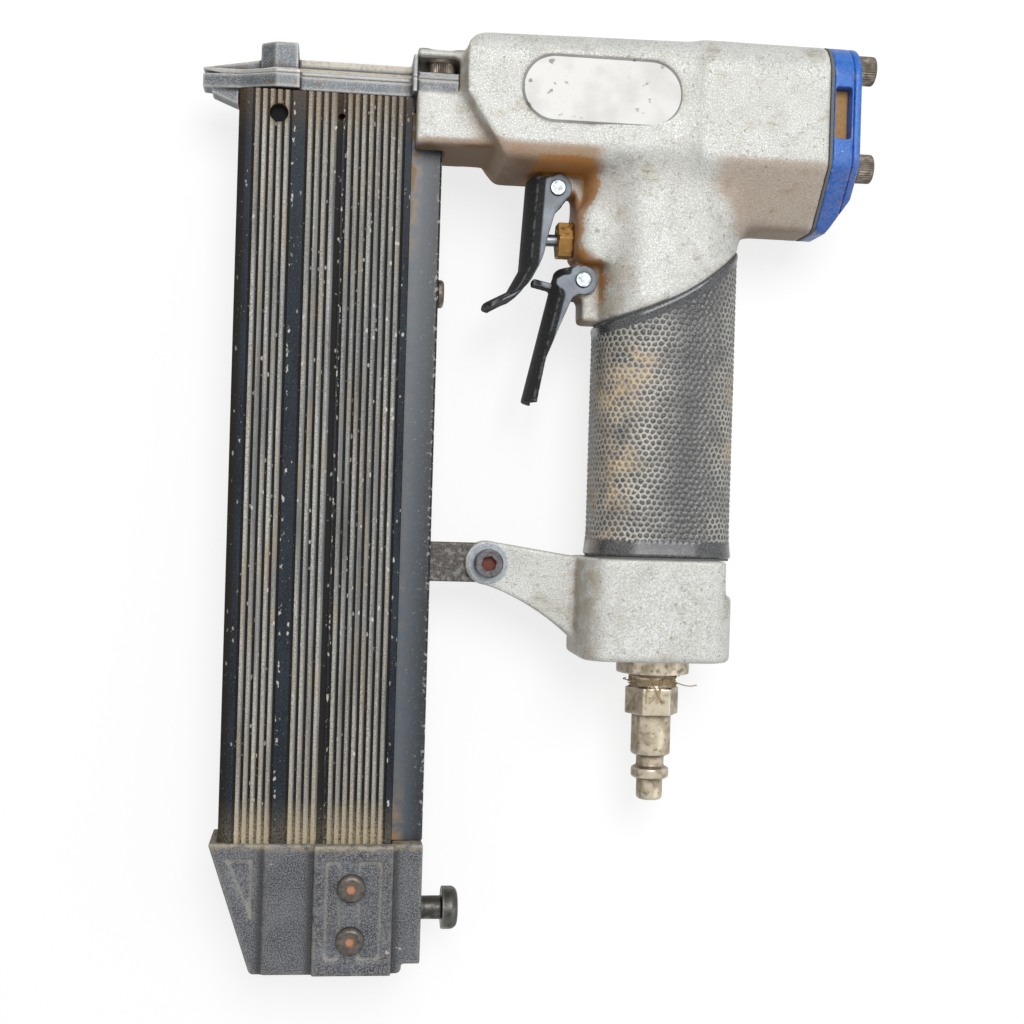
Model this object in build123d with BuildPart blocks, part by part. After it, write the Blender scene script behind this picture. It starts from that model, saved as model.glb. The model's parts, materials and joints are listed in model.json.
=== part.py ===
from build123d import *
import os
from math import cos, pi, sin, sqrt

# Pneumatic pin nailer, lying on its flank as it is put down on a bench. All sizes are millimetres.
# Places are given from the nose tip along the drive axis (x), up from the drive axis (y)
# and out from the middle plane of the tool (z).

# Fits
RUN_FIT = 0.05  # radial play of a pin or shaft that turns or slides in its hole
HOLD_FIT = 0.03  # play of a screw, pin or plate that is held fast
SLIDE_GAP = 0.3  # play between pieces that slide or turn past each other
SEAT_GAP = 0.1  # play of a piece dropped into its seat
OVERCUT = 2.0  # how far a cutting shape runs past the face that it opens

# Drive: pin, driver blade, piston and cylinder
PIN_WIDTH = 0.64
STROKE = 61.0
BLADE_WIDTH = 2.0
BLADE_HEIGHT = 0.9
BLADE_PLAY = 0.15
BLADE_BITE = 8.0
PIN_SLOT_HALF = 0.45
CYLINDER_BORE_R = 11.0
CYLINDER_WALL = 1.5
CYLINDER_FRONT_X = 79.0
CYLINDER_REAR_X = 172.0
PISTON_LENGTH = 11.0
PISTON_HUB_R = 5.0
PISTON_HUB_LENGTH = 10.0
BUMPER_LENGTH = 20.0
BUMPER_HOLE_R = 7.0
O_RING_WIRE_R = 1.0

# Nose plates
NOSE_TIP_HALF = 3.4
NOSE_BLOCK_START_X = 11.0
NOSE_BLOCK_START_HALF = 4.8
NOSE_BLOCK_X = 21.3
NOSE_BLOCK_END_X = 28.0
NOSE_BLOCK_HALF = 9.0
NOSE_BLOCK_TOP_Y = 1.9
NOSE_BAR_HALF = 6.0
NOSE_SEAM_Y = 0.6
NOSE_BOTTOM_Y = -3.6
NOSE_TOP_Y = 6.2
NOSE_TOP_HALF = 3.2
NOSE_BEVEL_Y = 3.4
NOSE_TIP_Y = 2.3
NOSE_LIP_X = 2.6
NOSE_LIP_DROP = 4.6
NOSE_SLIT_LENGTH = 5.6
NOSE_SLIT_HEIGHT = 0.9
NOSE_FLANGE_HALF = 13.0
NOSE_FLANGE_TOP_Y = 7.2
NOSE_FLANGE_THICKNESS = 1.4
NOSE_FOOT_HALF = 11.4
NOSE_FOOT_TOP_Y = 2.6
POST_START_X = 16.6
POST_START_HALF = 5.0
POST_FACE_X = 20.8
POST_END_X = 27.4
POST_HALF = 8.0
POST_TOP_Y = 9.8
POST_EDGE_R = 0.6
NOSE_SCREW_X = 69.0
NOSE_SCREW_Z = 7.3
NOSE_SCREW_HEAD_R = 3.8
NOSE_SCREW_HEAD_H = 3.5
NOSE_SCREW_R = 2.0
NOSE_SCREW_DEPTH = 3.4

# Cast body
BODY_FRONT_X = 61.8
POCKET_LENGTH = 12.2
POCKET_ROOF_Y = 6.5
FRONT_HALF = 15.0
FRONT_ROOF_Y = 7.6
FRONT_CREST_Y = 10.4
FRONT_CREST_HALF = 9.0
FRONT_BOTTOM_Y = -18.8
FRONT_BEVEL = 1.5
FRONT_LENGTH = 26.0
BARREL_FRONT_X = 75.5
BARREL_SLANT_Y = -4.5
BARREL_SLANT_X = 88.0
BARREL_HALF = 21.0
BARREL_FRONT_TOP_Y = 14.3
BARREL_FRONT_R = 7.0
BARREL_REAR_TOP_Y = 15.8
BARREL_BOTTOM_Y = -23.4
BARREL_TOP_R = 8.0
BARREL_BOTTOM_R = 7.0
HEAD_FRONT_X = 144.5
HEAD_STEP = 2.6
HEAD_STEP_TAPER = 36.0
HEAD_END_X = 182.0
HEAD_HALF = 23.0
HEAD_TOP_Y = 16.7
HEAD_SHOULDER_Y = -20.0
HEAD_BOTTOM_Y = -37.4
HEAD_BOTTOM_HALF = 8.0
HEAD_TOP_R = 11.0
HEAD_LOWER_R = 5.0
CHAMBER_R = 14.0
CHAMBER_FRONT_X = 150.0
DRIVER_HOLE_R = 3.0

# Label recess in the flank
LABEL_X = 114.8
LABEL_Y = -2.2
LABEL_LENGTH = 47.2
LABEL_WIDTH = 19.6
LABEL_THICKNESS = 0.8
LABEL_RECESS = 1.0

# Blue exhaust castings
GASKET_THICKNESS = 0.8
CAP_DEPTH = 6.2
COVER_EDGE = 2.3
COVER_CROWN = 2.9
COVER_CROWN_HALF = 11.4
COVER_CROWN_INSET = 2.6
COVER_CROWN_TAPER = 32.0
COVER_CROWN_R = 3.0
BACK_SLANT_Y = -23.0  # the blue castings' back slants in from here down
BACK_SLANT_INSET = 2.6
EXHAUST_TOP_Y = 2.8
EXHAUST_BOTTOM_Y = -12.3
EXHAUST_WALL = 0.7
EXHAUST_POCKET = 9.0
EXHAUST_DUCT_R = 1.7
EXHAUST_DUCT_Y = -2.0
FILTER_THICKNESS = 5.0
CAP_SCREW_TOP_Y = 9.5
CAP_SCREW_LOW_Y = -19.5
CAP_SCREW_Z = 17.2
CAP_SCREW_R = 2.5
CAP_SCREW_HEAD_R = 4.25
CAP_SCREW_HEAD_H = 5.0
CAP_SCREW_BITE = 12.0
HEX_KEY_LARGE = 4.0
HEX_KEY_SMALL = 2.5
SCREW_EDGE_R = 0.5
BUTTON_EDGE_R = 1.2

# Firing valve behind the cylinder
HEAD_VALVE_LIFT = 2.5
HEAD_VALVE_THICKNESS = 3.0
HEAD_VALVE_R = 13.2
HEAD_VALVE_STEM_R = 6.0
HEAD_VALVE_BORE_R = 3.0
HEAD_RING_WIRE_R = 0.75
HEAD_RING_INSET = 2.0
HEAD_SPRING_R = 8.4

# Handle, rubber sleeve and tail cap
HANDLE_X = 138.8
HANDLE_DEPTH = 42.2
HANDLE_THICKNESS = 35.0
HANDLE_CORNER_R = 14.0
GRIP_WALL = 2.5
GRIP_FRONT_Y = -67.2
GRIP_MIDDLE_Y = -59.5
GRIP_REAR_Y = -43.6
GRIP_BOTTOM_Y = -136.4
AIRWAY_DEPTH = 25.0
AIRWAY_THICKNESS = 18.0
AIRWAY_CORNER_R = 6.0
AIRWAY_TOP_Y = -29.0
AIR_PORT_LENGTH = 18.0
AIR_PORT_HEIGHT = 4.0
AIR_PORT_HALF = 7.0
TAIL_GASKET = 0.6
TAIL_X = 136.6
TAIL_DEPTH = 45.2
TAIL_THICKNESS = 40.0
TAIL_HEIGHT = 30.0
TAIL_CORNER_R = 9.0
TAIL_WAIST = 3.0
TAIL_WAIST_HEIGHT = 10.5
TAIL_FLOOR = 15.0
TAIL_EDGE_R = 1.6
TAIL_SCREW_INSET = 3.0
TAIL_SCREW_R = 1.5
TAIL_SCREW_HEAD_R = 2.8
TAIL_SCREW_HEAD_H = 3.0
TAIL_SCREW_SINK = 8.0
TAIL_SCREW_BITE = 10.0

# Arm from the tail cap to the magazine rail
ARM_BOSS_X = 87.0
ARM_BOSS_DROP = 2.6
ARM_BOSS_R = 6.6
ARM_HALF = 4.6
ARM_ROOT = 3.0
ARM_SAG_X = 103.6
ARM_SAG_DROP = 17.2
TONGUE_THICKNESS = 3.0
TONGUE_HALF_WIDTH = 5.9
TONGUE_ROOT = 4.0
BRACKET_SCREW_R = 2.5
BRACKET_HEAD_R = 4.25
BRACKET_HEAD_H = 4.0
WASHER_R = 5.9
WASHER_THICKNESS = 1.0
NUT_FLATS = 8.0
NUT_HEIGHT = 4.0

# Air inlet
BUSHING_R = 11.0
BUSHING_FLANGE = 4.6
BUSHING_BODY_R = 8.6
BUSHING_BORE_R = 5.0
BUSHING_BITE = 13.0
FILTER_SCREEN = 1.0
FILTER_PITCH = 4.0
FILTER_HOLE_R = 1.2
PLUG_THREAD_R = 6.8
PLUG_NECK = 4.2
PLUG_THREAD_BITE = 9.0
PLUG_HEX_FLATS = 14.3
PLUG_HEX_HEIGHT = 8.2
PLUG_SHANK_R = 5.95
PLUG_SHANK_LENGTH = 12.0
PLUG_GROOVE_R = 4.2
PLUG_GROOVE_LENGTH = 3.6
PLUG_BEAD_R = 5.7
PLUG_BEAD_LENGTH = 4.2
PLUG_TIP_R = 3.95
PLUG_TIP_LENGTH = 6.2
PLUG_TIP_CHAMFER = 0.8
PLUG_BORE_R = 2.8

# Trigger, safety lever and trigger valve. Outlines run from their pivots.
TRIGGER_X = 104.2
TRIGGER_Y = -28.2
TRIGGER_EYE_R = 4.3
TRIGGER_OUTLINE = (
    (-3.0, 3.4),
    (-8.4, 3.2),
    (-9.9, -23.6),
    (-13.6, -30.6),
    (-20.6, -34.3),
    (-20.9, -35.9),
    (-12.6, -32.6),
    (-7.8, -27.2),
    (-3.8, -19.4),
    (-0.6, -7.6),
    (4.0, -1.5),
)
TRIGGER_HOLLOW = ((-6.5, 8.0), (-8.0, -22.4), (12.0, -22.4), (12.0, 8.0))
LEVER_X = 112.6
LEVER_Y = -55.0
LEVER_EYE_R = 4.4
LEVER_OUTLINE = (
    (-2.6, 4.6),
    (-7.4, 3.4),
    (-8.8, -2.6),
    (-16.4, -36.2),
    (-14.4, -36.8),
    (-12.3, -23.6),
    (-8.6, -16.0),
    (-3.4, -5.6),
    (4.2, -1.0),
)
LEVER_HOLLOW = ((-5.4, 9.0), (-6.9, -3.0), (-7.4, -9.0), (7.0, -9.0), (7.0, 9.0))
STRUT_OUTLINE = ((-7.0, -0.9), (-14.4, 0.7), (-14.4, -1.3), (-7.4, -2.8))
STRUT_HALF = 3.0
CHANNEL_HALF = 8.5
CHANNEL_WALL = 1.7
WEB_HALF = 6.2
PIVOT_PIN_R = 2.1
PIVOT_PIN_PROUD = 0.7
NECK_X = 109.9
NECK_HALF = 12.5
NECK_TOP_X = 115.2
NECK_ARC_X = 113.3
NECK_ARC_Y = -30.4
NECK_FACE_Y = -35.0
NECK_BOTTOM_Y = -49.9
NECK_CORNER = 2.6
NECK_EDGE_R = 5.0
NECK_ROOT_R = 4.0
VALVE_Y = -42.3
VALVE_FRONT_X = 105.4
VALVE_LENGTH = 18.6
VALVE_R = 4.6
VALVE_HEX_FLATS = 10.2
VALVE_BORE_R = 3.3
VALVE_FRONT_WALL = 6.6
STEM_R = 1.8
STEM_TIP_X = 97.1
STEM_TRAVEL = 1.7
STEM_LAND_LENGTH = 3.0
STEM_TAIL_R = 1.2
STEM_TAIL_LENGTH = 5.0
VALVE_RING_WIRE_R = 0.5
VALVE_RING_PLACES = (7.6, 15.6)  # from the front of the valve
VALVE_PLUG_LENGTH = 2.6
VALVE_PLUG_BORE_R = 1.7
VALVE_SPRING_R = 2.3

# Magazine rail and ribbed shell
RAIL_STRIP_X = 61.0
RAIL_EDGE_X = 70.0
RAIL_HALF = 5.5
RAIL_FACE_Z = -0.5
RAIL_BAR_X = 15.0
RAIL_TOP_Y = -8.0
RAIL_TAIL_WIDTH = 4.4
RAIL_TAIL_LENGTH = 27.0
RAIL_EDGE_CHAMFER = 0.6
SHELL_LEFT_X = 10.7
SHELL_HALF = 9.0
SHELL_TOP_Y = -4.4
SHELL_LENGTH = 217.4
SHELL_CORNER_R = 4.0
SHELL_PIN_FACE_Z = 0.6
GUIDE_LIP_X = 54.0
GUIDE_LIP_WIDTH = 3.4
GUIDE_LIP_HEIGHT = 1.5
RIB_DEPTH = 0.9
RIB_GROOVE = 0.8
RIB_FIELDS = ((15.15, 2.12, 6), (30.3, 2.2, 4), (41.65, 2.1, 9))  # first groove, pitch, count
STEP_GROOVE_X = 39.9
STEP_GROOVE_WIDTH = 1.6
SIGHT_HOLE_X = 22.3
SIGHT_HOLE_DROP = 6.7
SIGHT_HOLE_R = 2.7
PEEP_HOLE_X = 40.3
PEEP_HOLE_R = 1.0
STOP_SCREW_Y = -60.0
STOP_SCREW_HEAD_R = 4.2
STOP_SCREW_HEAD_H = 1.9
STOP_SCREW_R = 2.0
STOP_SCREW_LENGTH = 6.0
DOWEL_X = 66.0
DOWEL_Y = -13.0
DOWEL_R = 2.0
DOWEL_DEPTH = 22.0

# Pusher
PUSHER_START_X = 18.0
PUSHER_WIDTH = 26.0
PUSHER_TRACK_Z = 6.2
PUSHER_LENGTH = 24.0
PUSHER_DROP = 1.2
PUSHER_ROLL_R = 2.2
PUSHER_ROLL_BORE_R = 1.0
PUSHER_ROLL_WIDTH = 10.0

# Magazine end cap and its latch
END_CAP_LENGTH = 37.6
END_CAP_LEFT_X = 8.2
END_CAP_SLANT = 12.8
END_CAP_NOTCH = 5.4
END_CAP_NOTCH_HEIGHT = 2.8
END_CAP_HALF = 10.4
END_CAP_MIDDLE_HALF = 11.2
END_CAP_PANEL_HALF = 12.9
END_CAP_MIDDLE_X = 24.4
END_CAP_PANEL_X = 38.6
END_CAP_PANEL_END_X = 61.5
END_CAP_CORNER_R = 1.5
CAP_RECESS_DEPTH = 0.5
CAP_RECESS_MARGIN = 4.2
CAP_RECESSES = ((44.3, 5.2), (54.9, 7.7))  # middle and width of the two long recesses
WING_RECESS_X = 12.8
WING_RECESS_WIDTH = 8.6
WING_RECESS_LENGTH = 19.0
SOCKET_DEPTH = 3.0
SHELL_TONGUE_X = 40.0
SHELL_TONGUE_END_X = 55.4
SHELL_TONGUE_LENGTH = 31.0
CAP_BOLT_X = 49.5
CAP_BOLT_DROP = 12.0
CAP_BOLT_PITCH = 15.1
CAP_BOLT_HEAD_R = 4.1
CAP_BOLT_HEAD_H = 2.3
CAP_BOLT_R = 2.0
CAP_BOLT_LENGTH = 9.0
KNOB_DROP = 21.0
KNOB_SHANK_R = 3.45
KNOB_SHANK_LENGTH = 6.4
KNOB_HEAD_R = 6.3
KNOB_HEAD_H = 4.8
KNOB_PIN_R = 2.2
KNOB_COLLAR_R = 3.4
KNOB_COLLAR_H = 1.5
KNOB_WALL = 2.0
KNOB_SPRING_R = 2.75
KNOB_TRAVEL = 2.4
KNOB_EDGE_R = 2.2

# Coil springs: wire radius and turns
SPRINGS = {
    "head_valve_spring": (0.45, 3),
    "valve_spring": (0.25, 4),
    "latch_spring": (0.2, 3),
}

# Sizes that follow from the ones above
NOSE_PLAN = [
    (0, NOSE_TIP_HALF),
    (NOSE_BLOCK_START_X, NOSE_BLOCK_START_HALF),
    (NOSE_BLOCK_X, NOSE_BLOCK_HALF),
    (NOSE_BLOCK_END_X, NOSE_BLOCK_HALF),
    (NOSE_BLOCK_END_X, NOSE_BAR_HALF),
]
NOSE_SCREW_PLACES = [(NOSE_SCREW_X, -NOSE_SCREW_Z), (NOSE_SCREW_X, NOSE_SCREW_Z)]
LINER_R = CYLINDER_BORE_R + CYLINDER_WALL
POCKET_REAR_X = BODY_FRONT_X + POCKET_LENGTH
FLANGE_X = BODY_FRONT_X - NOSE_FLANGE_THICKNESS
CAP_X = HEAD_END_X + GASKET_THICKNESS
COVER_X = CAP_X + CAP_DEPTH
COVER_FACE_X = COVER_X + COVER_EDGE
TOOL_END_X = COVER_FACE_X + CAP_SCREW_HEAD_H
CAP_SCREW_PLACES = [
    (side * CAP_SCREW_Z, y) for y in (CAP_SCREW_TOP_Y, CAP_SCREW_LOW_Y) for side in (-1, 1)
]
PISTON_REAR_X = CYLINDER_REAR_X - SEAT_GAP
PISTON_FRONT_X = PISTON_REAR_X - PISTON_LENGTH
BLADE_TIP_X = STROKE + PIN_WIDTH
PISTON_R = CYLINDER_BORE_R - RUN_FIT
PISTON_HUB_X = PISTON_FRONT_X - PISTON_HUB_LENGTH
PISTON_RING_X = PISTON_FRONT_X + PISTON_LENGTH / 2
VALVE_SEAT_X = CYLINDER_REAR_X + SEAT_GAP
VALVE_BACK_X = VALVE_SEAT_X + HEAD_VALVE_THICKNESS
HEAD_SPRING_LENGTH = CAP_X - VALVE_BACK_X - HEAD_VALVE_LIFT
VALVE_STEM_END_X = COVER_X - HEAD_VALVE_LIFT - SLIDE_GAP
HEAD_RING_X = VALVE_STEM_END_X - HEAD_RING_INSET
CORE_DEPTH = HANDLE_DEPTH - 2 * GRIP_WALL
CORE_THICKNESS = HANDLE_THICKNESS - 2 * GRIP_WALL
CORE_CORNER_R = HANDLE_CORNER_R - GRIP_WALL
TAIL_TOP_Y = GRIP_BOTTOM_Y - TAIL_GASKET
TAIL_BOTTOM_Y = TAIL_TOP_Y - TAIL_HEIGHT
TAIL_LEFT_X = TAIL_X - TAIL_DEPTH / 2
TAIL_RIGHT_X = TAIL_X + TAIL_DEPTH / 2
TAIL_CAVITY_Y = TAIL_TOP_Y - TAIL_HEIGHT + TAIL_FLOOR
TAIL_SEAT_Y = TAIL_BOTTOM_Y + TAIL_SCREW_SINK
TAIL_SCREW_PLACES = [(HANDLE_X + side * (CORE_DEPTH / 2 - TAIL_SCREW_INSET), 0) for side in (-1, 1)]
ARM_BOSS_Y = TAIL_TOP_Y - ARM_BOSS_DROP
BRACKET_FACE_Z = ARM_HALF + WASHER_THICKNESS
LEVER_LUG_R = LEVER_EYE_R + SLIDE_GAP
VALVE_REAR_X = VALVE_FRONT_X + VALVE_LENGTH
VALVE_STEP_X = VALVE_FRONT_X + VALVE_FRONT_WALL
VALVE_PLUG_X = VALVE_REAR_X - VALVE_PLUG_LENGTH
STEM_LAND_X = VALVE_STEP_X + SEAT_GAP
STEM_TAIL_X = STEM_LAND_X + STEM_LAND_LENGTH
VALVE_SPRING_LENGTH = VALVE_PLUG_X - STEM_TAIL_X - STEM_TRAVEL
SHELL_RIGHT_X = RAIL_STRIP_X - SLIDE_GAP
SHELL_BOTTOM_Y = SHELL_TOP_Y - SHELL_LENGTH
RAIL_BOTTOM_Y = SHELL_BOTTOM_Y + SLIDE_GAP
RAIL_BAR_TOP_Y = NOSE_BOTTOM_Y - SEAT_GAP
RAIL_TAIL_X = RAIL_STRIP_X - SEAT_GAP - RAIL_TAIL_WIDTH
END_CAP_BOTTOM_Y = SHELL_BOTTOM_Y - END_CAP_LENGTH
CAP_CAVITY_END_X = RAIL_STRIP_X + SEAT_GAP
CAP_BOLT_PLACES = [
    (CAP_BOLT_X, SHELL_BOTTOM_Y - CAP_BOLT_DROP - row * CAP_BOLT_PITCH) for row in range(2)
]
KNOB_Y = SHELL_BOTTOM_Y - KNOB_DROP
KNOB_TIP_X = RAIL_STRIP_X - SEAT_GAP + SLIDE_GAP
KNOB_COLLAR_X = KNOB_TIP_X + KNOB_COLLAR_H
KNOB_SPRING_LENGTH = RAIL_EDGE_X - KNOB_WALL - KNOB_COLLAR_X - KNOB_TRAVEL
KNOB_SHANK_X = RAIL_EDGE_X + SEAT_GAP
KNOB_HEAD_X = KNOB_SHANK_X + KNOB_SHANK_LENGTH
PUSHER_TOP_Y = SHELL_TOP_Y - PUSHER_DROP
PUSHER_ROLL_Y = PUSHER_TOP_Y - PUSHER_LENGTH / 2
PUSHER_AXIS_X = PUSHER_START_X + PUSHER_WIDTH / 2
PUSHER_AXIS_Z = (SHELL_PIN_FACE_Z + PUSHER_TRACK_Z) / 2

# The tool lies on its lower flank, centred on the origin
TOOL = Plane(
    origin=(-TOOL_END_X / 2, -(HEAD_TOP_Y + END_CAP_BOTTOM_Y) / 2, HEAD_HALF),
    x_dir=(1, 0, 0),
    z_dir=(0, 0, 1),
)
ALONG_X = (1, 0, 0)
UP_Y = (0, 1, 0)
DOWN_Y = (0, -1, 0)


def flank(z):
    """Sketch plane parallel to the flanks, drawn in x and y, raised towards the upper flank."""
    return TOOL.offset(z)


def across(x, y=0.0):
    """Sketch plane square to the drive axis, drawn in z (mirrored) and y, raised towards the head."""
    return Plane(origin=TOOL.from_local_coords((x, y, 0)), x_dir=(0, 0, -1), z_dir=ALONG_X)


def level(y):
    """Sketch plane square to the magazine, drawn in x and z, raised towards the end cap."""
    return Plane(origin=TOOL.from_local_coords((0, y, 0)), x_dir=ALONG_X, z_dir=DOWN_Y)


def roof(y):
    """Sketch plane square to the magazine, drawn in x and z (mirrored), raised towards the barrel."""
    return Plane(origin=TOOL.from_local_coords((0, y, 0)), x_dir=ALONG_X, z_dir=UP_Y)


def axis_at(x, y, direction):
    """Axis through a place in the middle plane, to turn a profile about."""
    return Axis(TOOL.from_local_coords((x, y, 0)), direction)


def plan_outline(points):
    """Closed plan outline in x and z from its upper half."""
    return points + [(x, -z) for x, z in reversed(points)]


def section_outline(points):
    """Closed cross section in z and y from its near half."""
    return points + [(-z, y) for z, y in reversed(points)]


def from_pivot(pivot, points):
    """Outline points that are given from a pivot."""
    return [(pivot[0] + x, pivot[1] + y) for x, y in points]


def head_outline(sketch):
    """Tear shaped section of the head, shared by the gasket and the blue castings."""
    half = [(HEAD_BOTTOM_HALF, HEAD_BOTTOM_Y), (HEAD_HALF, HEAD_SHOULDER_Y), (HEAD_HALF, HEAD_TOP_Y)]
    Polygon(*section_outline(half))
    fillet(sketch.vertices().group_by(Axis.Y)[-1], HEAD_TOP_R)
    fillet(sketch.vertices().sort_by(Axis.Y)[:4], HEAD_LOWER_R)


def below_slant():
    """Outline of what the blue castings lack at the lower back, along the slant that both share."""
    return [
        (COVER_X - BACK_SLANT_INSET, HEAD_BOTTOM_Y),
        (COVER_FACE_X + COVER_CROWN, BACK_SLANT_Y),
        (TOOL_END_X, BACK_SLANT_Y),
        (TOOL_END_X, HEAD_BOTTOM_Y - OVERCUT),
        (COVER_X - BACK_SLANT_INSET, HEAD_BOTTOM_Y - OVERCUT),
    ]


def corners(left, right, low, high):
    """Four corners of a rectangle."""
    return [(left, low), (right, low), (right, high), (left, high)]


def along_x(y, profile):
    """Half profile in x and radius, raised to its axis."""
    return [(x, y + radius) for x, radius in profile]


def down_y(x, profile):
    """Half profile in y and radius, moved out to its axis."""
    return [(x + radius, y) for y, radius in profile]


def ring_groove(middle, radius, wire_r):
    """Steps of a round piece that let in an O-ring flush."""
    half = wire_r + SEAT_GAP
    floor = radius - 2 * wire_r - HOLD_FIT
    return [(middle - half, radius), (middle - half, floor), (middle + half, floor), (middle + half, radius)]


def socket_screws(seat, places, shank, head, key, edge_r):
    """Screws with hexagon sockets on a seat plane. Shank and head are (radius, length)."""
    with BuildPart() as screws:
        with BuildSketch(seat):
            with Locations(*places):
                Circle(head[0])
        extrude(amount=head[1])
        tops = screws.faces().sort_by(Axis(seat.origin, seat.z_dir))[-len(places) :]
        fillet(tops.edges(), edge_r)
        with BuildSketch(seat):
            with Locations(*places):
                Circle(shank[0])
        extrude(amount=-shank[1])
        with BuildSketch(seat.offset(head[1])):
            with Locations(*places):
                RegularPolygon(key / 2, 6, major_radius=False)
        extrude(amount=-min(key / 2, head[1] - SLIDE_GAP), mode=Mode.SUBTRACT)
    return screws


def o_rings(x, y, radius, wire_r, places):
    """Rubber rings about an axis along x, at places given from x."""
    with BuildPart() as rings:
        for place in places:
            with BuildSketch(TOOL):
                with Locations((x + place, y + radius)):
                    Circle(wire_r)
            revolve(axis=axis_at(x, y, ALONG_X))
    return rings


def coil(name, start, direction, side, radius, length):
    """Coil spring as one tube on quarter turn biarcs, with its least gap to itself printed."""
    wire_r, turns = SPRINGS[name]
    frame = Plane(origin=TOOL.from_local_coords(start), x_dir=side, z_dir=direction)
    pitch = (length - 2 * wire_r - 2 * SEAT_GAP) / turns

    def place(turn):
        angle = 2 * pi * turn
        rise = wire_r + SEAT_GAP + pitch * turn
        return frame.from_local_coords(Vector(radius * cos(angle), radius * sin(angle), rise))

    def heading(turn):
        angle = 2 * pi * turn
        ahead = Vector(-radius * sin(angle), radius * cos(angle), pitch / (2 * pi))
        return (frame.from_local_coords(ahead) - frame.origin).normalized()

    with BuildPart() as spring:
        with BuildLine() as path:
            for step in range(4 * turns):
                begin = place(step / 4)
                end = place((step + 1) / 4)
                leave = heading(step / 4)
                arrive = heading((step + 1) / 4)
                chord = end - begin
                along = chord.dot(leave + arrive)
                spread = 2 * (1 - leave.dot(arrive))
                reach = (sqrt(along**2 + spread * chord.dot(chord)) - along) / spread
                joint = (begin + end + (leave - arrive) * reach) * 0.5
                TangentArc(begin, joint, tangent=leave)
                TangentArc(joint, end, tangent=arrive * -1, tangent_from_first=False)
        with BuildSketch(Plane(origin=path.line @ 0, z_dir=path.line % 0)):
            Circle(wire_r)
        sweep(path=path.line)
    samples = [place(count / 24) for count in range(24 * turns + 1)]
    pairs = [(a, b) for i, a in enumerate(samples) for b in samples[i + 12 : i + 37]]
    print(name, "least gap to itself", round(min((a - b).length for a, b in pairs) - 2 * wire_r, 2))
    return spring


os.makedirs("parts", exist_ok=True)


def save(piece, name):
    """Label a finished piece and write it as its own file."""
    piece.part.label = name
    export_step(piece.part, f"parts/{name}.step")


# Rubber sleeve of the handle, with its slanting upper edge
with BuildPart() as grip_sleeve:
    with BuildSketch(level(GRIP_REAR_Y)):
        with Locations((HANDLE_X, 0)):
            RectangleRounded(HANDLE_DEPTH, HANDLE_THICKNESS, HANDLE_CORNER_R)
            RectangleRounded(CORE_DEPTH, CORE_THICKNESS, CORE_CORNER_R, mode=Mode.SUBTRACT)
    extrude(amount=GRIP_REAR_Y - GRIP_BOTTOM_Y)
    with BuildSketch(TOOL):
        with BuildLine():
            front = HANDLE_X - HANDLE_DEPTH / 2
            rear = HANDLE_X + HANDLE_DEPTH / 2
            slant = ThreePointArc((front, GRIP_FRONT_Y), (HANDLE_X, GRIP_MIDDLE_Y), (rear, GRIP_REAR_Y))
            Polyline(
                slant @ 0,
                (front - OVERCUT, GRIP_FRONT_Y),
                (front - OVERCUT, GRIP_REAR_Y + OVERCUT),
                (rear, GRIP_REAR_Y + OVERCUT),
                slant @ 1,
            )
        make_face()
    extrude(amount=HANDLE_THICKNESS, both=True, mode=Mode.SUBTRACT)
save(grip_sleeve, "grip_sleeve")

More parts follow.
